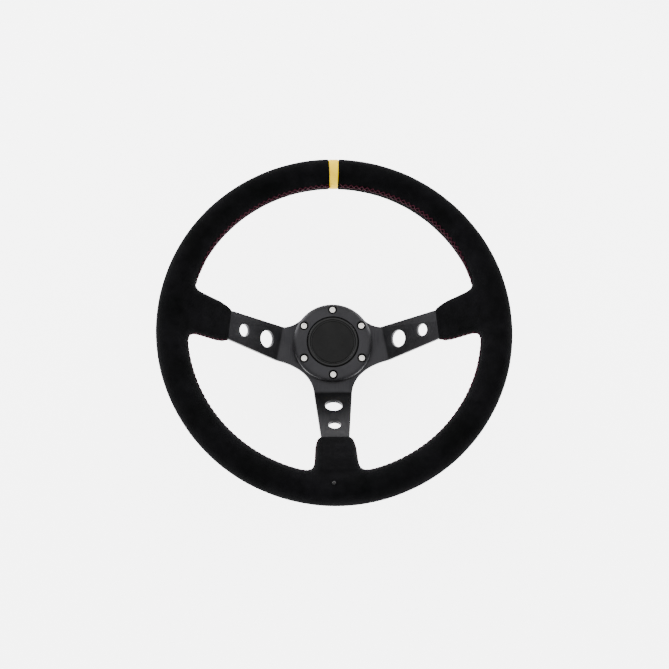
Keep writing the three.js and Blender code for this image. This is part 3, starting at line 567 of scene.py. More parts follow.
SIDE = {"fold": 54.3, "fold_half": 18.6, "cover_half": 14.8}
RIGHT = Spoke("right", SIDE_SPOKE_RISE, -SIDE_SPOKE_OFFSET, cover_tilt=-4.5, **SIDE)
LEFT = Spoke("left", math.pi - SIDE_SPOKE_RISE, SIDE_SPOKE_OFFSET, cover_tilt=4.5, **SIDE)
BOTTOM = Spoke("bottom", -math.pi / 2, 0, fold=52.2, fold_half=20.1, cover_half=14.2, cover_tilt=0)
SPOKES = [RIGHT, LEFT, BOTTOM]

ARC_MIDDLE = BEND_RADIUS + PLATE_THICKNESS / 2
FIRST_BEND = BEND_RADIUS * math.tan(DISH_ANGLE / 2)
OUTER_BEND = BEND_RADIUS + PLATE_THICKNESS
SECOND_BEND = OUTER_BEND * math.tan(DISH_ANGLE / 2)


def bend_marks(spoke):
    """Plan distance and developed length at each end of both bends."""
    reach = (SPOKE_END_FRONT - PLATE_FRONT) / math.tan(DISH_ANGLE)
    arc = ARC_MIDDLE * DISH_ANGLE
    flat_end = spoke.fold - FIRST_BEND
    slope_start = flat_end + ARC_MIDDLE * math.sin(DISH_ANGLE)
    level = spoke.fold + reach + SECOND_BEND
    slope_end = level - ARC_MIDDLE * math.sin(DISH_ANGLE)
    slope = (slope_end - slope_start) / math.cos(DISH_ANGLE)
    lengths = np.cumsum([flat_end, arc, slope, arc])
    return (flat_end, slope_start, slope_end, level), lengths


def developed(spoke, along):
    """Distance along the unfolded sheet for a distance in plan on the flat or sloping part."""
    (flat_end, slope_start, slope_end, level), lengths = bend_marks(spoke)
    if along <= flat_end:
        return along
    if along <= level:
        return lengths[1] + (along - slope_start) / math.cos(DISH_ANGLE)
    return lengths[3] + along - level


def folded(spoke, length, lift):
    """(along, height) of a point of the unfolded sheet, lift above its middle."""
    (flat_end, slope_start, slope_end, level), (l0, l1, l2, l3) = bend_marks(spoke)
    centre = PLATE_FRONT + BEND_RADIUS
    if length <= l0:
        return length, PLATE_FRONT - PLATE_THICKNESS / 2 + lift
    if length <= l1:
        angle = (length - l0) / ARC_MIDDLE
        radius = ARC_MIDDLE - lift
        return flat_end + radius * math.sin(angle), centre - radius * math.cos(angle)
    if length <= l2:
        run = length - l1
        radius = ARC_MIDDLE - lift
        along = flat_end + radius * math.sin(DISH_ANGLE) + run * math.cos(DISH_ANGLE)
        return along, centre - radius * math.cos(DISH_ANGLE) + run * math.sin(DISH_ANGLE)
    top = SPOKE_END_FRONT - OUTER_BEND
    if length <= l3:
        angle = DISH_ANGLE - (length - l2) / ARC_MIDDLE
        radius = ARC_MIDDLE + lift
        return level - radius * math.sin(angle), top + radius * math.cos(angle)
    return level + length - l3, top + ARC_MIDDLE + lift


def bezier(a, b, c, d, parts=20):
    t = np.linspace(0, 1, parts + 1)[:, None]
    return (1 - t) ** 3 * a + 3 * t * (1 - t) ** 2 * b + 3 * t ** 2 * (1 - t) * c + t ** 3 * d


def plate_outline():
    """The unfolded plate in plan: a round hub running out into three tapering spokes."""
    def edge(spoke, side):
        stations = [
            (spoke.fold, spoke.fold_half),
            (COVER_START, spoke.cover_half),
            (COVER_START + TAPER_LENGTH, SPOKE_END_HALF_WIDTH),
            (SPOKE_END, SPOKE_END_HALF_WIDTH),
        ]
        return [spoke.place(developed(spoke, at), side * half) for at, half in stations]

    def on_hub(angle):
        return on_circle(HUB_RADIUS, angle)

    def tangent(angle):
        return np.array((-math.sin(angle), math.cos(angle)))

    def upper_sweep(spoke_edge, side, angle):
        """From a side spoke's upper edge to the round of the hub."""
        hub = on_hub(angle)
        return bezier(spoke_edge, spoke_edge + (-9 * side, 0.6), hub - 6 * side * tangent(angle), hub)

    def lower_sweep(start, side, end):
        """Between a side spoke and the bottom one."""
        corner = np.array((side * 23.2, -26.9))
        return bezier(start, start + (corner - start) * 0.65, end + (corner - end) * 0.65, end)

    right_end, left_end = 43 * DEGREE, math.pi - 43 * DEGREE
    right_top, left_top = edge(RIGHT, 1), edge(LEFT, -1)
    parts = [
        edge(RIGHT, -1), right_top[::-1],
        upper_sweep(right_top[0], 1, right_end),
        [on_hub(a) for a in np.linspace(right_end, left_end, 40)],
        upper_sweep(left_top[0], -1, left_end)[::-1],
        left_top, edge(LEFT, 1)[::-1],
        lower_sweep(edge(LEFT, 1)[0], -1, edge(BOTTOM, -1)[0]),
        edge(BOTTOM, -1), edge(BOTTOM, 1)[::-1],
        lower_sweep(edge(BOTTOM, 1)[0], 1, edge(RIGHT, -1)[0]),
    ]
    outline = []
    for point in np.concatenate([np.asarray(part, float) for part in parts]):
        if not outline or np.linalg.norm(point - outline[-1]) > 0.05:
            outline.append(point)
    if np.linalg.norm(outline[0] - outline[-1]) < 0.05:
        outline.pop()
    return outline


def circle(centre, radius, steps=64):
    return around(steps, 0, lambda angle: np.asarray(centre) + on_circle(radius, angle))


def flat_sheet(name, outlines, thickness, edge_round):
    """A flat sheet with holes, centred on its own middle, with rounded edges."""
    curve = bpy.data.curves.new(name, "CURVE")
    curve.dimensions = "2D"
    curve.fill_mode = "BOTH"
    curve.extrude = (thickness / 2 - edge_round) * MM
    curve.bevel_depth = edge_round * MM
    curve.bevel_resolution = 2
    curve.offset = -edge_round * MM
    for outline in outlines:
        spline = curve.splines.new("POLY")
        spline.points.add(len(outline) - 1)
        for point, (x, y) in zip(spline.points, outline):
            point.co = (x * MM, y * MM, 0, 1)
        spline.use_cyclic_u = True
    holder = add_object(name, curve)
    mesh = evaluated(holder)
    bpy.data.objects.remove(holder)
    return add_object(name, mesh)


def make_plate():
    """The bent plate: drawn flat with its holes, scored across each bend, and folded up."""
    holes = [circle((0, 0), HUB_OPENING, 96)]
    holes += around(BOLT_COUNT, FIRST_BOLT, lambda a: circle(
        on_circle(BOLT_RADIUS, a), CLEARANCE_HOLE, 24))
    for spoke in SPOKES:
        for at, radius in (LARGE_HOLE, SMALL_HOLE):
            holes.append(circle(spoke.place(developed(spoke, at), 0), radius))
    obj = flat_sheet("spoke_plate_finish", [plate_outline(), *holes], PLATE_THICKNESS, PLATE_ROUND)
    work = bmesh.new()
    work.from_mesh(obj.data)
    bmesh.ops.remove_doubles(work, verts=work.verts, dist=1e-6)
    for spoke in SPOKES:
        lengths = bend_marks(spoke)[1]
        for start, end in (lengths[0:2], lengths[2:4]):
            for length in np.linspace(start, end, 9):
                everything = work.verts[:] + work.edges[:] + work.faces[:]
                bmesh.ops.bisect_plane(
                    work, geom=everything, dist=1e-7,
                    plane_co=Vector((*spoke.place(length, 0), 0)) * MM,
                    plane_no=Vector((*spoke.along, 0)),
                )
    for vert in work.verts:
        plan = np.array(vert.co[:2]) / MM
        lift = vert.co.z / MM
        height = PLATE_FRONT - PLATE_THICKNESS / 2 + lift
        for spoke in SPOKES:
            along, across = spoke.local(plan)
            if along > spoke.fold - FIRST_BEND and abs(across) < 30:
                flat, height = folded(spoke, along, lift)
                plan = spoke.place(flat, across)
                break
        vert.co = Vector((*plan, height)) * MM
    work.to_mesh(obj.data)
    work.free()
    clean(obj, 28)
    piece(obj, PLATE, "wheel_side", "plate", "spoke_plate")


make_plate()


# ------------------------------------------------------------------ padded suede

def smooth_min(a, b, blend):
    """The lesser of two distances, with the crease between them filled in."""
    gap = np.clip(blend - np.abs(a - b), 0, None) / blend
    return np.minimum(a, b) - gap ** 3 * blend / 6


def overlap(a, b, corner):
    """Signed distance to where two forms overlap, with the corner between them rounded."""
    a, b = a + corner, b + corner
    inside = np.minimum(np.maximum(a, b), 0)
    return np.hypot(np.clip(a, 0, None), np.clip(b, 0, None)) + inside - corner


def rim_distance(p):
    """Signed distance to the rim's oval ring, near enough."""
    across = np.hypot(p[..., 0], p[..., 1]) - RIM_RADIUS
    up = p[..., 2] - RIM_HEIGHT
    scaled = np.sqrt((across / RIM_HALF_WIDTH) ** 2 + (up / RIM_HALF_DEPTH) ** 2) + 1e-9
    slope = np.sqrt((across / RIM_HALF_WIDTH ** 2) ** 2 + (up / RIM_HALF_DEPTH ** 2) ** 2) + 1e-9
    return scaled * (scaled - 1) / slope


SEAM_DEPTH = 0.55
SEAM_WIDTH = 0.9
SUEDE_BLEND = 17            # how far the rim and a sleeve reach into each other
LIP_ROUND = 1.2             # rounding of a sleeve's edge over the metal
ARM_STATIONS = (0, 5.5, 12, 25, 36, 50)
ARM_HALF_WIDTH = (15.5, 17.9, 19.4, 20.2, 20.8, 20.8)
ARM_HALF_DEPTH = (3.2, 4.9, 6.6, 8.6, 8.0, 2.0)


def arm_distance(spoke, p):
    """Signed distance to the padded sleeve round one spoke, which swells from the metal's edge."""
    along, across = spoke.local(p[..., :2])
    past = spoke.past_edge(along, across)
    half_width = np.interp(past, ARM_STATIONS, ARM_HALF_WIDTH)
    half_depth = np.interp(past, ARM_STATIONS, ARM_HALF_DEPTH)
    lift = (p[..., 2] - spoke.middle(along)) * math.cos(DISH_ANGLE)
    corner = np.minimum(half_depth * 0.85, 6.5)
    slab = overlap(np.abs(across) - half_width, np.abs(lift) - half_depth, corner)
    rounded_end = overlap(-past * math.cos(DISH_ANGLE), slab, LIP_ROUND)
    return np.maximum(rounded_end, along - RIM_RADIUS)


def suede_distance(p):
    """Signed distance to the whole suede: the rim with the three padded sleeves blended in."""
    field = rim_distance(p)
    for spoke in SPOKES:
        field = smooth_min(field, arm_distance(spoke, p), SUEDE_BLEND)
    return field


def ease(t):
    return t * t * (3 - 2 * t)


LEAN_TURNS = (-90, -45, -15, 10, 25, 55, 85, 100, 150, 180, 195, 230, 270)
LEAN_ANGLES = (-4, -3, 5, 12, 17, 22, 15, 13, 14, 8, 0, -4, -4)


def seam_lean(turn):
    """How far the seam leans from the rim's inner equator towards the driver, round the wheel."""
    turn = (np.asarray(turn) / DEGREE + 90) % 360 - 90
    return np.interp(turn, LEAN_TURNS, LEAN_ANGLES) * DEGREE


def seam_height(p):
    """Height of the seam that runs round the rim's inside and down the edges of the spokes."""
    lean = seam_lean(np.arctan2(p[..., 1], p[..., 0]))
    height = RIM_HEIGHT + RIM_HALF_DEPTH * np.sin(lean)
    for spoke in SPOKES:
        along, across = spoke.local(p[..., :2])
        near = (along > 60) & (np.abs(across) < 70)
        sheet = spoke.middle(along) + 1.5 * np.clip((along - 120) / 20, 0, 1)
        blend = ease(np.clip((62 - np.abs(across)) / 38, 0, 1))
        height = np.where(near, height + (np.minimum(sheet, RIM_HEIGHT) - height) * blend, height)
    return height


def slope_of(p):
    """Outward direction of the suede's surface."""
    steps = 0.05 * np.eye(3)
    made = np.stack([suede_distance(p + step) - suede_distance(p - step) for step in steps], -1)
    return made / np.linalg.norm(made, axis=-1)[..., None]


def on_suede(p):
    """Points moved along the slope on to the suede's surface."""
    for _ in range(4):
        p = p - suede_distance(p)[..., None] * slope_of(p)
    return p


def surface_net(field, corner, size, step):
    """Points and faces where a field sampled on a box's grid crosses zero."""
    counts = np.ceil(np.asarray(size) / step).astype(int) + 1
    axes = [corner[k] + step * np.arange(counts[k]) for k in range(3)]
    grid = np.stack(np.meshgrid(*axes, indexing="ij"), -1)
    value = field(grid)
    inside = value < 0
    cells = tuple(c - 1 for c in counts)
    total = np.zeros((*cells, 3))
    hits = np.zeros(cells)
    corners = [(i, j, k) for i in (0, 1) for j in (0, 1) for k in (0, 1)]

    def at(array, o):
        return array[o[0]:o[0] + cells[0], o[1]:o[1] + cells[1], o[2]:o[2] + cells[2]]

    for a in corners:
        for axis in range(3):
            if a[axis]:
                continue
            b = tuple(a[k] + (k == axis) for k in range(3))
            va, vb = at(value, a), at(value, b)
            crossing = at(inside, a) != at(inside, b)
            t = np.where(crossing, va / np.where(crossing, va - vb, 1), 0)
            spot = np.array(a, float) + t[..., None] * np.eye(3)[axis]
            total += np.where(crossing[..., None], spot, 0)
            hits += crossing
    used = hits > 0
    number = np.full(cells, -1)
    number[used] = np.arange(used.sum())
    where = np.argwhere(used)
    points = np.asarray(corner) + step * (where + total[used] / hits[used][:, None])
    faces = []
    for axis in range(3):
        u, v = (axis + 1) % 3, (axis + 2) % 3
        for spot in np.argwhere(np.diff(inside, axis=axis)):
            if spot[u] == 0 or spot[v] == 0 or spot[u] >= cells[u] or spot[v] >= cells[v]:
                continue
            ring = []
            for du, dv in ((0, 0), (-1, 0), (-1, -1), (0, -1)):
                cell = spot.copy()
                cell[u] += du
                cell[v] += dv
                ring.append(int(number[tuple(cell)]))
            if not inside[tuple(spot)]:
                ring.reverse()
            faces.append(ring)
    return points, faces


def make_sleeve(spoke):
    """The suede over one spoke's end, running out into the rim."""
    low_corner = np.array((85, -62, 80))
    size = np.array((75, 124, 66))

    def placed(q):
        """Points given along and across the spoke, in plan."""
        plan = q[..., :1] * spoke.along + (q[..., 1:2] + spoke.offset) * spoke.across
        return np.concatenate([plan, q[..., 2:]], -1)

    def field(q):
        p = placed(q)
        rim, arm = rim_distance(p), arm_distance(spoke, p)
        far = np.clip((np.abs(rim - arm) - 9) / 8, 0, 1)
        made = smooth_min(rim + 0.2 + 0.9 * ease(far), arm, SUEDE_BLEND)
        seam = (p[..., 2] - seam_height(p)) / SEAM_WIDTH
        made = made + SEAM_DEPTH * np.exp(-seam ** 2)
        trim = np.maximum(np.abs(q[..., 1]) - 58, q[..., 0] - RIM_RADIUS)
        return np.maximum(made, trim)

    points, faces = surface_net(field, low_corner, size, 1.0)
    obj = add_mesh(f"spoke_suede_{spoke.name}", placed(points), faces, 60)
    piece(obj, SUEDE, "wheel_side", "suede", f"spoke_cover_{spoke.name}")


for spoke in SPOKES:
    make_sleeve(spoke)


STITCH_PITCH = 5.6
STITCH_REACH = 2.9          # how far each stitch reaches to either side of the seam
THREAD_RADIUS = 0.5
EDGE_ROLL = 1.1             # how the suede turns under beside the centre band


def make_rim():
    """The rim's suede, from one side of the centre band round to the other, with its inner seam."""
    half_gap = (BAND_HALF + 0.2) / RIM_RADIUS
    start, end = math.pi / 2 + half_gap, math.pi / 2 + TURN - half_gap
    edge = EDGE_ROLL / RIM_RADIUS * (1 - np.cos(np.linspace(0, math.pi / 2, 6)))[:-1]
    inner = edge[-1] * 1.6
    turns = np.concatenate([start + edge, np.linspace(start + inner, end - inner, 820), end - edge[::-1]])
    coarse, fine = 0.42, 0.40
    section = np.concatenate([
        np.linspace(-math.pi + coarse, math.pi - coarse, 60),
        np.linspace(math.pi - fine, math.pi + fine, 27),
    ])
    turn, from_outside = np.meshgrid(turns, section, indexing="ij")
    from_seam = np.abs(from_outside - math.pi)
    from_seam = np.minimum(from_seam, TURN - from_seam) * RIM_HALF_DEPTH
    round_section = from_outside - seam_lean(turn)
    travel = turn * (RIM_RADIUS - RIM_HALF_WIDTH)
    groove = SEAM_DEPTH * np.exp(-(from_seam / SEAM_WIDTH) ** 2)
    pucker = 0.16 * np.exp(-((from_seam - STITCH_REACH) / 1.6) ** 2)
    pucker = pucker * (0.5 + 0.5 * np.cos(TURN * travel / STITCH_PITCH))
    waves = 0.06 * np.sin(9 * turn + 1.3 * np.sin(2 * round_section)) * np.cos(round_section)
    waves += 0.03 * np.sin(31 * turn + 2 * round_section)
    to_edge = np.minimum(turn - start, end - turn) * RIM_RADIUS
    short = np.clip(EDGE_ROLL - to_edge, 0, None)
    roll = EDGE_ROLL - np.sqrt(np.clip(EDGE_ROLL ** 2 - short ** 2, 0, None))
    inset = 0.12 + groove + pucker + waves + roll
    reach = RIM_RADIUS + (RIM_HALF_WIDTH - inset) * np.cos(round_section)
    height = RIM_HEIGHT + (RIM_HALF_DEPTH - inset) * np.sin(round_section)
    grid = np.stack([reach * np.cos(turn), reach * np.sin(turn), height], -1)
    obj = add_mesh("rim_suede", *capped_tube(grid), 60)
    covers = [f"rim_cover_{part}" for part in ("upper_left", "upper_right", "lower_left", "lower_right")]
    piece(obj, SUEDE, "wheel_side", "suede", *covers)


make_rim()


# ------------------------------------------------------------------ stitching

def seam_path(middle, first, last):
    """The seam seen round one gap of the wheel, from angle first to angle last about its middle."""
    angles = np.linspace(first, last, 420)
    rays = np.column_stack([np.cos(angles), np.sin(angles), np.zeros(len(angles))])
    start = np.array((*middle, 0.0))
    reach = np.arange(0, 150, 1.5)

    def at_seam(points):
        points[..., 2] = seam_height(points)
        return points

    hit = suede_distance(at_seam(start + rays[:, None, :] * reach[None, :, None])) < 0
    first_hit = np.argmax(hit, 1)
    found = hit.any(1)
    near, far = reach[np.maximum(first_hit - 1, 0)], reach[first_hit]
    for _ in range(14):
        half = (near + far) / 2
        inside = suede_distance(at_seam(start + rays * half[:, None])) < 0
        near, far = np.where(inside, near, half), np.where(inside, half, far)
    return at_seam(start + rays * near[:, None])[found]


def resampled(path, pitch):
    """The path as evenly spaced points about pitch apart."""
    steps = np.linalg.norm(np.diff(path, axis=0), axis=1)
    travel = np.concatenate([[0], np.cumsum(steps)])
    count = max(2, int(round(travel[-1] / pitch)))
    at = np.linspace(0, travel[-1], count + 1)
    return np.column_stack([np.interp(at, travel, path[:, k]) for k in range(3)])


def stitches(path):
    """Crossed threads lacing the two edges of the suede together along a seam."""
    spots = resampled(path, STITCH_PITCH)
    ahead = np.gradient(spots, axis=0)
    ahead /= np.linalg.norm(ahead, axis=1)[:, None]
    out = slope_of(spots)
    over = np.cross(out, ahead)
    over /= np.linalg.norm(over, axis=1)[:, None]
    made = []
    for i in range(len(spots) - 1):
        for side in (-1, 1):
            t = np.linspace(0, 1, 9)[:, None]
            line = (1 - t) * (spots[i] + side * STITCH_REACH * over[i])
            line = line + t * (spots[i + 1] - side * STITCH_REACH * over[i + 1])
            line = on_suede(line)
            rise = THREAD_RADIUS * (1.15 * np.sin(math.pi * t) ** 0.6 - 0.75)
            line = line + slope_of(line) * (rise + (0.1 if side > 0 else 0.0))
            made.append(tube(line, THREAD_RADIUS, 7))
    return made


def make_stitching():
    """The stitching round all three gaps of the wheel, left out on bare metal and at the band."""
    upper = seam_path((0, 60), -7 * DEGREE, 187 * DEGREE)
    left = seam_path((-70, -70), 30 * DEGREE, 330 * DEGREE)
    right = seam_path((70, -70), -150 * DEGREE, 150 * DEGREE)
    made = []
    for path in (upper, left, right):
        keep = np.ones(len(path), bool)
        for spoke in SPOKES:
            along, across = spoke.local(path[:, :2])
            near = (along > 0) & (np.abs(across) < 45)
            keep &= ~(near & (spoke.past_edge(along, across) < 2.5))
        at_band = (np.abs(path[:, 0]) < BAND_HALF + 1.5) & (path[:, 1] > 100)
        keep &= ~at_band
        ends = np.flatnonzero(np.diff(np.concatenate([[0], keep.astype(int), [0]])))
        for start, stop in ends.reshape(-1, 2):
            if stop - start > 6:
                made += stitches(path[start:stop])
    obj = add_mesh("rim_stitching", *many(made), 50)
    piece(obj, THREAD, "wheel_side", "suede")


make_stitching()


def make_knot():
    """The tied end of the lacing at the lower left corner of the centre band."""
    loops = []
    centre = np.array((-BAND_HALF - 1.2, RIM_RADIUS - RIM_HALF_WIDTH - 0.4, RIM_HEIGHT + 4.5))
    for k, (wide, tilt) in enumerate(((2.1, 0.2), (1.7, 1.1), (1.9, -0.7))):
        a = np.linspace(0, TURN, 24, endpoint=False)
        flat = np.column_stack([wide * np.cos(a), 0.35 * np.sin(2 * a) - 0.25 * k, 1.1 * np.sin(a)])
        spun = flat @ np.array(Matrix.Rotation(tilt, 3, "Y")).T
        loops.append(tube(centre + spun, THREAD_RADIUS * 0.95, 7, closed=True))
    t = np.linspace(0, 1, 12)[:, None]
    tail = centre + t * np.array((2.4, -0.6, 1.2)) + np.sin(math.pi * t) * np.array((0, -1.0, 0.6))
    loops.append(tube(tail, THREAD_RADIUS * 0.9, 7))
    obj = add_mesh("stitching_knot", *many(loops), 50)
    piece(obj, THREAD, "wheel_side", "suede")


make_knot()


def make_band():
    """The soft yellow band at twelve o'clock, its edges tucked under the suede."""
    half = BAND_HALF + 0.1
    shown = np.linspace(-half + 0.25, half - 0.25, 26)
    across = np.concatenate([[-half, -half], shown, [half, half]])
    sunk = 0.55 * np.exp(-((half - np.abs(shown)) / 0.7) ** 2)
    tuck = np.concatenate([[3.0, 1.1], sunk, [1.1, 3.0]])
    section = np.linspace(0, TURN, 128, endpoint=False)
    a, lean = np.meshgrid(across, section, indexing="ij")
    inset = BAND_RECESS + tuck[:, None] + 0.05 * np.sin(5 * lean + a * 0.5)
    turn = math.pi / 2 - a / RIM_RADIUS
    reach = RIM_RADIUS + (RIM_HALF_WIDTH - inset) * np.cos(lean)
    height = RIM_HEIGHT + (RIM_HALF_DEPTH - inset) * np.sin(lean)
    grid = np.stack([reach * np.cos(turn), reach * np.sin(turn), height], -1)
    obj = add_mesh("centre_band_finish", *capped_tube(grid), 60)
    piece(obj, BAND, "wheel_side", "band", "centre_band")


make_band()


# ------------------------------------------------------------------ horn and clamp ring

def bolt_places():
    return around(BOLT_COUNT, FIRST_BOLT, lambda a: shift(*on_circle(BOLT_RADIUS, a)))


def drill(place, profile, steps):
    """A turned cutter, moved into place."""
    return moved(add_mesh("drill", *lathe(profile, steps, closed=False)), place)


def make_ring():
    """The clamp ring, with a counterbore for each screw."""
    outer, opening = RING_RADIUS, RING_OPENING
    pocket, lip = 29, RING_FRONT - 3.8
    shoulder = [
        (outer - 6.8 + RING_SHOULDER * math.sin(a), RING_FRONT - RING_SHOULDER * (1 - math.cos(a)), 0)
        for a in np.linspace(SHOULDER_ANGLE, 0, 14)
    ]
    obj = turned("horn_ring_finish", [
        (pocket, RING_BACK, 0.2), (outer, RING_BACK, 0.5), (outer, RING_FRONT - 2.95, 0.25),
        *shoulder, (opening + 0.7, RING_FRONT, 0.2),
        (opening, RING_FRONT - 0.9, 0.2), (opening, lip, 0.2), (pocket, lip, 0.2),
    ], 180, sharp=25)
    under, over, floor, wide = RING_BACK - 1, RING_FRONT + 2, BOLT_TOP - 5.3, 4.75
    counterbore = [
        (0, under), (CLEARANCE_HOLE, under), (CLEARANCE_HOLE, floor), (wide, floor), (wide, over), (0, over),
    ]
    cut(obj, [drill(place, counterbore, 40) for place in bolt_places()], 25)
    piece(obj, RING, "wheel_side", "ring", "horn_ring")


make_ring()


def make_bolts():
    """The six screws: a cap with a wide chamfer and a hexagon socket."""
    bottom = low("hub_bolt_1")[2]
    head_bottom = BOLT_TOP - 5
    shank, head, socket = 2.5, 4.2, 2.05
    master = turned("bolt_master", [
        (0, bottom), (shank, bottom, 0.4), (shank, head_bottom, 0), (head, head_bottom, 0.2),
        (head, BOLT_TOP - 3.2, 0.3), (3.2, BOLT_TOP - 0.3, 0.3), (2.95, BOLT_TOP, 0.2),
        (socket, BOLT_TOP, 0), (1.85, BOLT_TOP - 0.25, 0), (0, BOLT_TOP - 0.25),
    ], 48, sharp=30, closed=False)
    hexagon = [(0, BOLT_TOP - 2.6), (socket, BOLT_TOP - 2.3), (socket, BOLT_TOP + 1), (0, BOLT_TOP + 1)]
    cut(master, [drill(shift(0, 0), hexagon, 6)], 30)
    for k, place in enumerate(bolt_places()):
        bolt = copy_of(master, f"hub_bolt_finish_{k + 1}", place @ spin(0.7 * k))
        piece(bolt, SCREW, "wheel_side", "screw", f"hub_bolt_{k + 1}")
    bpy.data.objects.remove(master)


make_bolts()


def make_horn():
    """The horn button, held by a flange under the ring, and the plain disc set into it."""
    top, face = high("horn_cap")[2], high("horn_badge")[2]
    seat, under = face - 1.3, top - 3.8
    flange, flange_low, flange_high = 28.55, 54.0, 55.65
    skirt, bead, recess = 18.0, 26.6, 22.65
    cap = turned("horn_cap_finish", [
        (0, under), (skirt, under, 0.2), (skirt, flange_low, 0.2), (flange, flange_low, 0.3),
        (flange, flange_high, 0.3), (bead, flange_high, 0.2), (bead, top - 0.9, 0.8),
        (25.8, top, 0.5), (24.3, top, 0.7), (23.35, face - 0.35, 0.4), (recess, face - 0.45, 0.1),
        (recess, seat, 0), (0, seat),
    ], 160, sharp=32, closed=False)
    piece(cap, BUTTON, "horn_button", "button", "horn_cap")
    disc = recess - 0.3
    badge = turned("horn_badge_finish", [
        (0, seat), (disc, seat, 0.1), (disc, face - 0.3, 0.3), (disc - 0.45, face, 0.3), (0, face),
    ], 140, sharp=32, closed=False)
    piece(badge, BADGE, "horn_button", "badge", "horn_badge")


make_horn()


# ------------------------------------------------------------------ quick release coupling

SPLINE_COUNT = 12
BALL_COUNT = 6
BALL_RADIUS = 3
BALL_LOCKED_RADIUS = 16.9   # from the axis to a locked ball's centre
BALL_HEIGHT = sum(heights("lock_ball_1")) / 2
CONE_SLOPE = 1.4 / 5        # how far a ball moves out for the sleeve's travel
NECK_TOP = 12
SPLINE_TOP = 27
FLUTE_COUNT = 36


def spline(root, tip, half_root, half_tip):
    """Radius of a ring of straight-sided teeth as a function of the angle. Half widths in degrees."""
    def radius(angles):
        pitch = TURN / SPLINE_COUNT
        off = np.abs((angles + pitch / 2) % pitch - pitch / 2) / DEGREE
        return np.interp(off, (half_tip, half_root), (tip, root))
    return radius


def make_column_hub():
    """The column side: a flange with three holes and a splined spigot with the balls' groove."""
    top = high("column_hub")[2]
    bore, flange, neck, spigot, groove = 11, 35, 20, 15.2, 13.7
    thickness, hole_circle = 6, 25.4
    teeth, tooth_ends = spline(15.5, 17, 8, 6.5), spline(15.3, 16.4, 8, 6)
    obj = add_mesh("column_hub_finish", *lathe([
        *rounded([
            (bore, top), (bore, 0), (flange, 0, 0.9), (flange, thickness, 0.9),
            (neck, thickness, 0.8), (neck, NECK_TOP, 0.4),
        ], 0.5, closed=False),
        (teeth, NECK_TOP), (teeth, SPLINE_TOP - 0.6), (tooth_ends, SPLINE_TOP), (spigot, SPLINE_TOP),
        *rounded([
            (spigot, BALL_HEIGHT - 2.7), (spigot - 0.8, BALL_HEIGHT - 2.1, 0.6), (groove, BALL_HEIGHT, 2),
            (spigot - 0.8, BALL_HEIGHT + 2.1, 0.6), (spigot, BALL_HEIGHT + 2.7, 0.1),
            (spigot, top - 1.5, 0.4), (spigot - 1.5, top, 0.4), (bore, top),
        ], 0.3, closed=False),
    ], 360), 30)
    hole = [(0, -1), (4.0, -1), (3.25, 0.5), (3.25, 5.5), (4.0, 7), (0, 7)]
    cut(obj, around(3, 90 * DEGREE, lambda a: drill(shift(*on_circle(hole_circle, a)), hole, 40)), 30)
    piece(obj, STEEL, "column_side", "steel", "column_hub")


def make_coupler():
    """The wheel side: a splined barrel with the balls' holes, on a flange behind the plate."""
    bottom, front = heights("coupler_body")
    clip_low, clip_high = low("sleeve_circlip")[2] - 0.2, high("sleeve_circlip")[2] + 0.2
    bore, barrel, clip_seat, flange, recess = 15.8, 19.5, 18.4, 40.5, 25.8
    flange_back, recess_floor, spline_end = front - 5, front - 2.8, SPLINE_TOP + 0.5
    grooves = spline(bore, 17.3, 9.2, 7.7)
    obj = add_mesh("coupler_finish", *lathe([
        (bore, recess_floor), (bore, spline_end), (grooves, spline_end), (grooves, bottom),
        *rounded([
            (barrel, bottom, 0.5), (barrel, clip_low), (clip_seat, clip_low), (clip_seat, clip_high),
            (barrel, clip_high), (barrel, flange_back, 0.6), (flange, flange_back, 0.9),
            (flange, front, 0.6), (recess, front), (recess, recess_floor),
        ], 0.15, closed=False),
    ], 360), 30)
    ball_hole = [(0, -6), (3.3, -6), (3.3, 6), (0, 6)]
    outwards = shift(BALL_LOCKED_RADIUS + 2, 0, BALL_HEIGHT) @ Matrix.Rotation(math.pi / 2, 4, "Y")
    screw_hole = [
        (0, front - 7), (3.4, front - 7), (CLEARANCE_HOLE, front - 4.6), (CLEARANCE_HOLE, front + 1),
        (0, front + 1),
    ]
    cut(obj, [
        *around(BALL_COUNT, 0, lambda a: drill(spin(a) @ outwards, ball_hole, 32)),
        *[drill(place, screw_hole, 28) for place in bolt_places()],
    ], 30)
    piece(obj, COUPLER, "wheel_side", "coupler", "coupler_body")


def make_release_sleeve():
    """The fluted sleeve, with a pocket for its spring and the cone that holds the balls in."""
    bottom, top = heights("release_sleeve")
    guide, outer, cone = 19.8, high("release_sleeve")[0], 22.0
    pocket_inner, pocket_outer, pocket_floor = 23.2, 27, 22
    at_ball = BALL_LOCKED_RADIUS + BALL_RADIUS + 0.4
    neck = outer - 0.7

    def fluted(angles):
        return outer - 0.9 - 0.55 * (0.5 - 0.5 * np.cos(FLUTE_COUNT * angles)) ** 0.6

    obj = add_mesh("release_sleeve_finish", *lathe([
        *rounded([
            (guide, bottom), (outer, bottom, 1.4), (outer, bottom + 3.6, 0.3), (neck, bottom + 4.2, 0.1),
        ], 0.3, closed=False),
        (fluted, bottom + 4.4), (fluted, top - 4.4),
        *rounded([
            (neck, top - 4.2, 0.1), (outer, top - 3.6, 0.3), (outer, top, 1.0), (pocket_outer, top, 0.3),
            (pocket_outer, pocket_floor), (pocket_inner, pocket_floor), (pocket_inner, top, 0.3),
            (guide, top, 0.3), (guide, BALL_HEIGHT + (at_ball - guide) / CONE_SLOPE),
            (cone, BALL_HEIGHT - (cone - at_ball) / CONE_SLOPE),
            (cone, pocket_floor - 1.5), (guide, pocket_floor - 3),
        ], 0.2, closed=False),
    ], 432), 30)
    piece(obj, SLEEVE, "release_sleeve", "sleeve", "release_sleeve")


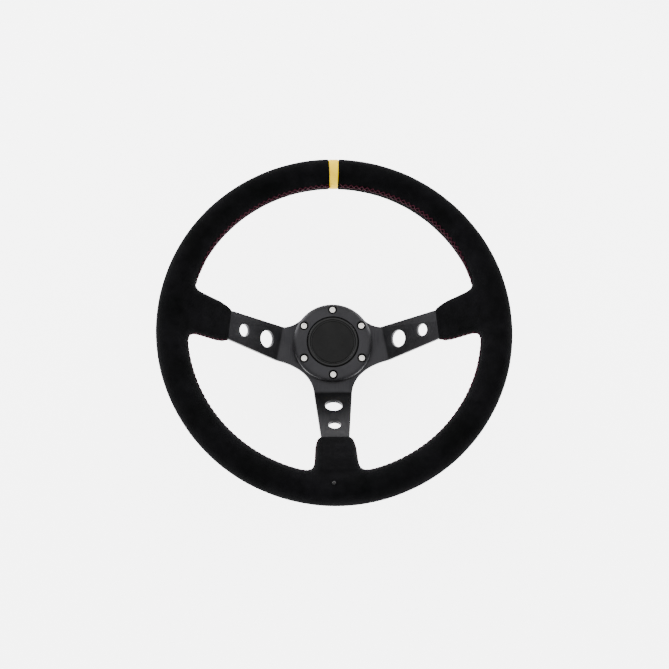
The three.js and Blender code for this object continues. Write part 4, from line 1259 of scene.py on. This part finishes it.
def coil(name, radius, wire, bottom, top, turns):
    """A compression spring whose turns close up at both ends."""
    t = np.linspace(0, 1, int(turns * 40))
    height = bottom + wire + (top - bottom - 2 * wire) * (t + ease(t)) / 2
    angle = t * turns * TURN
    path = np.column_stack([radius * np.cos(angle), radius * np.sin(angle), height])
    return add_mesh(name, *tube(path, wire, 12), 50)


def make_springs():
    bottom, top = heights("sleeve_spring")
    obj = coil("sleeve_spring_finish", 25.1, 0.9, bottom, top, 4.5)
    piece(obj, STEEL, "wheel_side", "steel", "sleeve_spring")
    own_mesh(obj)
    bottom, top = heights("horn_spring")
    obj = coil("horn_spring_finish", 15.2, 0.6, bottom, top, 3.5)
    piece(obj, STEEL, "wheel_side", "steel", "horn_spring")
    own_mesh(obj)


def make_circlip():
    """The ring that stops the sleeve, open at the bottom, with an ear at each end."""
    bottom, top = heights("sleeve_circlip")
    thickness, edge_round = top - bottom, 0.15
    half_gap, outer, seat = 12 * DEGREE, 21.3, 18.6
    angles = np.linspace(-math.pi / 2 + half_gap, 1.5 * math.pi - half_gap, 90)
    outline = [on_circle(outer, a) for a in angles] + [on_circle(seat, a) for a in angles[::-1]]
    obj = flat_sheet("circlip_finish", [outline], thickness, edge_round)
    ears = []
    for side in (-1, 1):
        spot = on_circle(outer + 0.4, -math.pi / 2 + side * half_gap)
        ear = [circle(spot, 1.9, 32), circle(spot, 0.8, 20)]
        ears.append(flat_sheet("ear", ear, thickness - 0.02, edge_round))
    for part in (obj, *ears):
        moved(part, shift(0, 0, (bottom + top) / 2))
    work = bmesh.new()
    for part in (obj, *ears):
        work.from_mesh(part.data)
    work.to_mesh(obj.data)
    work.free()
    for ear in ears:
        bpy.data.objects.remove(ear)
    clean(obj, 30)
    piece(obj, STEEL, "wheel_side", "steel", "sleeve_circlip")


def make_balls():
    arc = np.linspace(-math.pi / 2, math.pi / 2, 25)
    profile = [(BALL_RADIUS * math.cos(a), BALL_RADIUS * math.sin(a)) for a in arc]
    profile[0], profile[-1] = (0, -BALL_RADIUS), (0, BALL_RADIUS)
    master = add_mesh("ball_master", *lathe(profile, 48, closed=False), 60)
    for k in range(BALL_COUNT):
        place = spin(k * TURN / BALL_COUNT) @ shift(BALL_LOCKED_RADIUS, 0, BALL_HEIGHT)
        ball = copy_of(master, f"lock_ball_finish_{k + 1}", place)
        piece(ball, BALL_STEEL, f"ball_{k + 1}", "bearing_steel", f"lock_ball_{k + 1}")
    bpy.data.objects.remove(master)


make_column_hub()
make_coupler()
make_release_sleeve()
make_springs()
make_circlip()
make_balls()


# ------------------------------------------------------------------ stud and hidden nodes

def make_stud():
    """The small dark button stud low on the rim's front."""
    tilt = 21.5 * DEGREE
    lean = Vector((0, math.sin(tilt), math.cos(tilt)))
    middle = (low("rim_stud")[0] + high("rim_stud")[0]) / 2
    inwards = RIM_HALF_WIDTH * math.sin(tilt) * 0.93
    height = RIM_HEIGHT + RIM_HALF_DEPTH * math.sqrt(1 - (inwards / RIM_HALF_WIDTH) ** 2)
    obj = turned("rim_stud_finish", [
        (0, -1.5), (0.9, -1.5), (0.9, -0.1), (1.9, -0.1, 0.2), (1.8, 0.35, 0.3), (1.0, 0.75, 0.4), (0, 0.8),
    ], 40, radius=0.15, closed=False)
    turn = lean.rotation_difference(Vector((0, 0, 1))).inverted().to_matrix().to_4x4()
    moved(obj, shift(middle, inwards - RIM_RADIUS, height) @ turn)
    piece(obj, BUTTON, "wheel_side", "screw", "rim_stud")


make_stud()


def dress(material, slot, *nodes):
    """Gives CAD nodes that keep their shape a better material."""
    for node in nodes:
        obj = bpy.data.objects[node]
        obj.data.materials.clear()
        obj.data.materials.append(material)


dress(FOAM, "foam", "rim_foam")
dress(STEEL, "steel", "rim_core", *[f"core_rivet_{k}" for k in range(1, 7)])
dress(PHENOLIC, "insulator", "horn_base")
dress(BRASS, "brass", "horn_live_contact", "horn_earth_contact", "horn_moving_contact")


# ------------------------------------------------------------------ studio

def make_floor():
    """A white floor with a painted glow of its own, strongest round the wheel and fading out about a metre
    away, which also lights the wheel from below.
    """
    mesh = bpy.data.meshes.new("floor")
    reach = 4.0
    corners = [(-reach, -reach, 0), (reach, -reach, 0), (reach, reach, 0), (-reach, reach, 0)]
    mesh.from_pydata(corners, [], [(0, 1, 2, 3)])
    floor = add_object("floor", mesh)
    paint = Paint("floor", (0.93, 0.93, 0.93), 0.9, **{
        "Specular IOR Level": 0.1, "Emission Color": (1, 1, 1, 1),
    })
    # painted glow: emission strength 4.4 out to 0.5 m from the axis, falling to nothing by 1.15 m
    painted_glow = paint.node("ShaderNodeMapRange", {
        "From Min": 0.5, "From Max": 1.15, "To Min": 4.4, "To Max": 0.0,
    }, interpolation_type="SMOOTHSTEP")
    paint.link(paint.radial(), painted_glow, "Value")
    paint.link(painted_glow.outputs["Result"], paint.shader, "Emission Strength")
    floor.data.materials.append(paint.material)
    floor.location.z = -0.0005


def softbox(name, side, power):
    """A soft light beyond the top of the wheel, to one side, aimed at its middle."""
    data = bpy.data.lights.new(name, "AREA")
    data.shape = "RECTANGLE"
    data.size, data.size_y = 0.7, 0.4
    data.energy = power
    lamp = add_object(name, data)
    lamp.location = (side * 1.3, 1.2, 0.55)
    lamp.rotation_mode = "QUATERNION"
    lamp.rotation_quaternion = (Vector((0, 0, 0.08)) - lamp.location).to_track_quat("-Z", "Y")


def make_lights():
    """A white room, brighter overhead, and a softbox on each side."""
    world = bpy.data.worlds.new("studio")
    world.use_nodes = True
    tree = world.node_tree
    aim = tree.nodes.new("ShaderNodeTexCoord")
    split = tree.nodes.new("ShaderNodeSeparateXYZ")
    rise = tree.nodes.new("ShaderNodeMapRange")
    for name, value in {"From Min": 0.0, "From Max": 0.85, "To Min": 0.45, "To Max": 2.2}.items():
        rise.inputs[name].default_value = value
    tree.links.new(aim.outputs["Generated"], split.inputs["Vector"])
    tree.links.new(split.outputs["Z"], rise.inputs["Value"])
    tree.links.new(rise.outputs["Result"], tree.nodes["Background"].inputs["Strength"])
    tree.nodes["Background"].inputs["Color"].default_value = (1, 1, 1, 1)
    bpy.context.scene.world = world
    softbox("upper_left", -1, 24)
    softbox("upper_right", 1, 18)


def make_camera():
    """The photograph's view: 14.5 degrees below the steering axis and a little to the left."""
    distance = 0.9254
    back = Vector((-0.0380, -0.2507, 0.9673)).normalized()
    right = Vector((0, 1, 0)).cross(back).normalized()
    up = back.cross(right)
    roll = -0.71 * DEGREE
    x_axis = math.cos(roll) * right + math.sin(roll) * up
    y_axis = -math.sin(roll) * right + math.cos(roll) * up
    data = bpy.data.cameras.new("camera")
    data.sensor_width = 36
    data.lens = 50.70
    data.shift_x, data.shift_y = -0.0011, -0.0137
    camera = add_object("camera", data)
    place = Vector((0, 0, RIM_HEIGHT * MM)) + distance * back
    camera.matrix_world = Matrix.Translation(place) @ Matrix((x_axis, y_axis, back)).transposed().to_4x4()
    bpy.context.scene.camera = camera


make_floor()
make_lights()
make_camera()
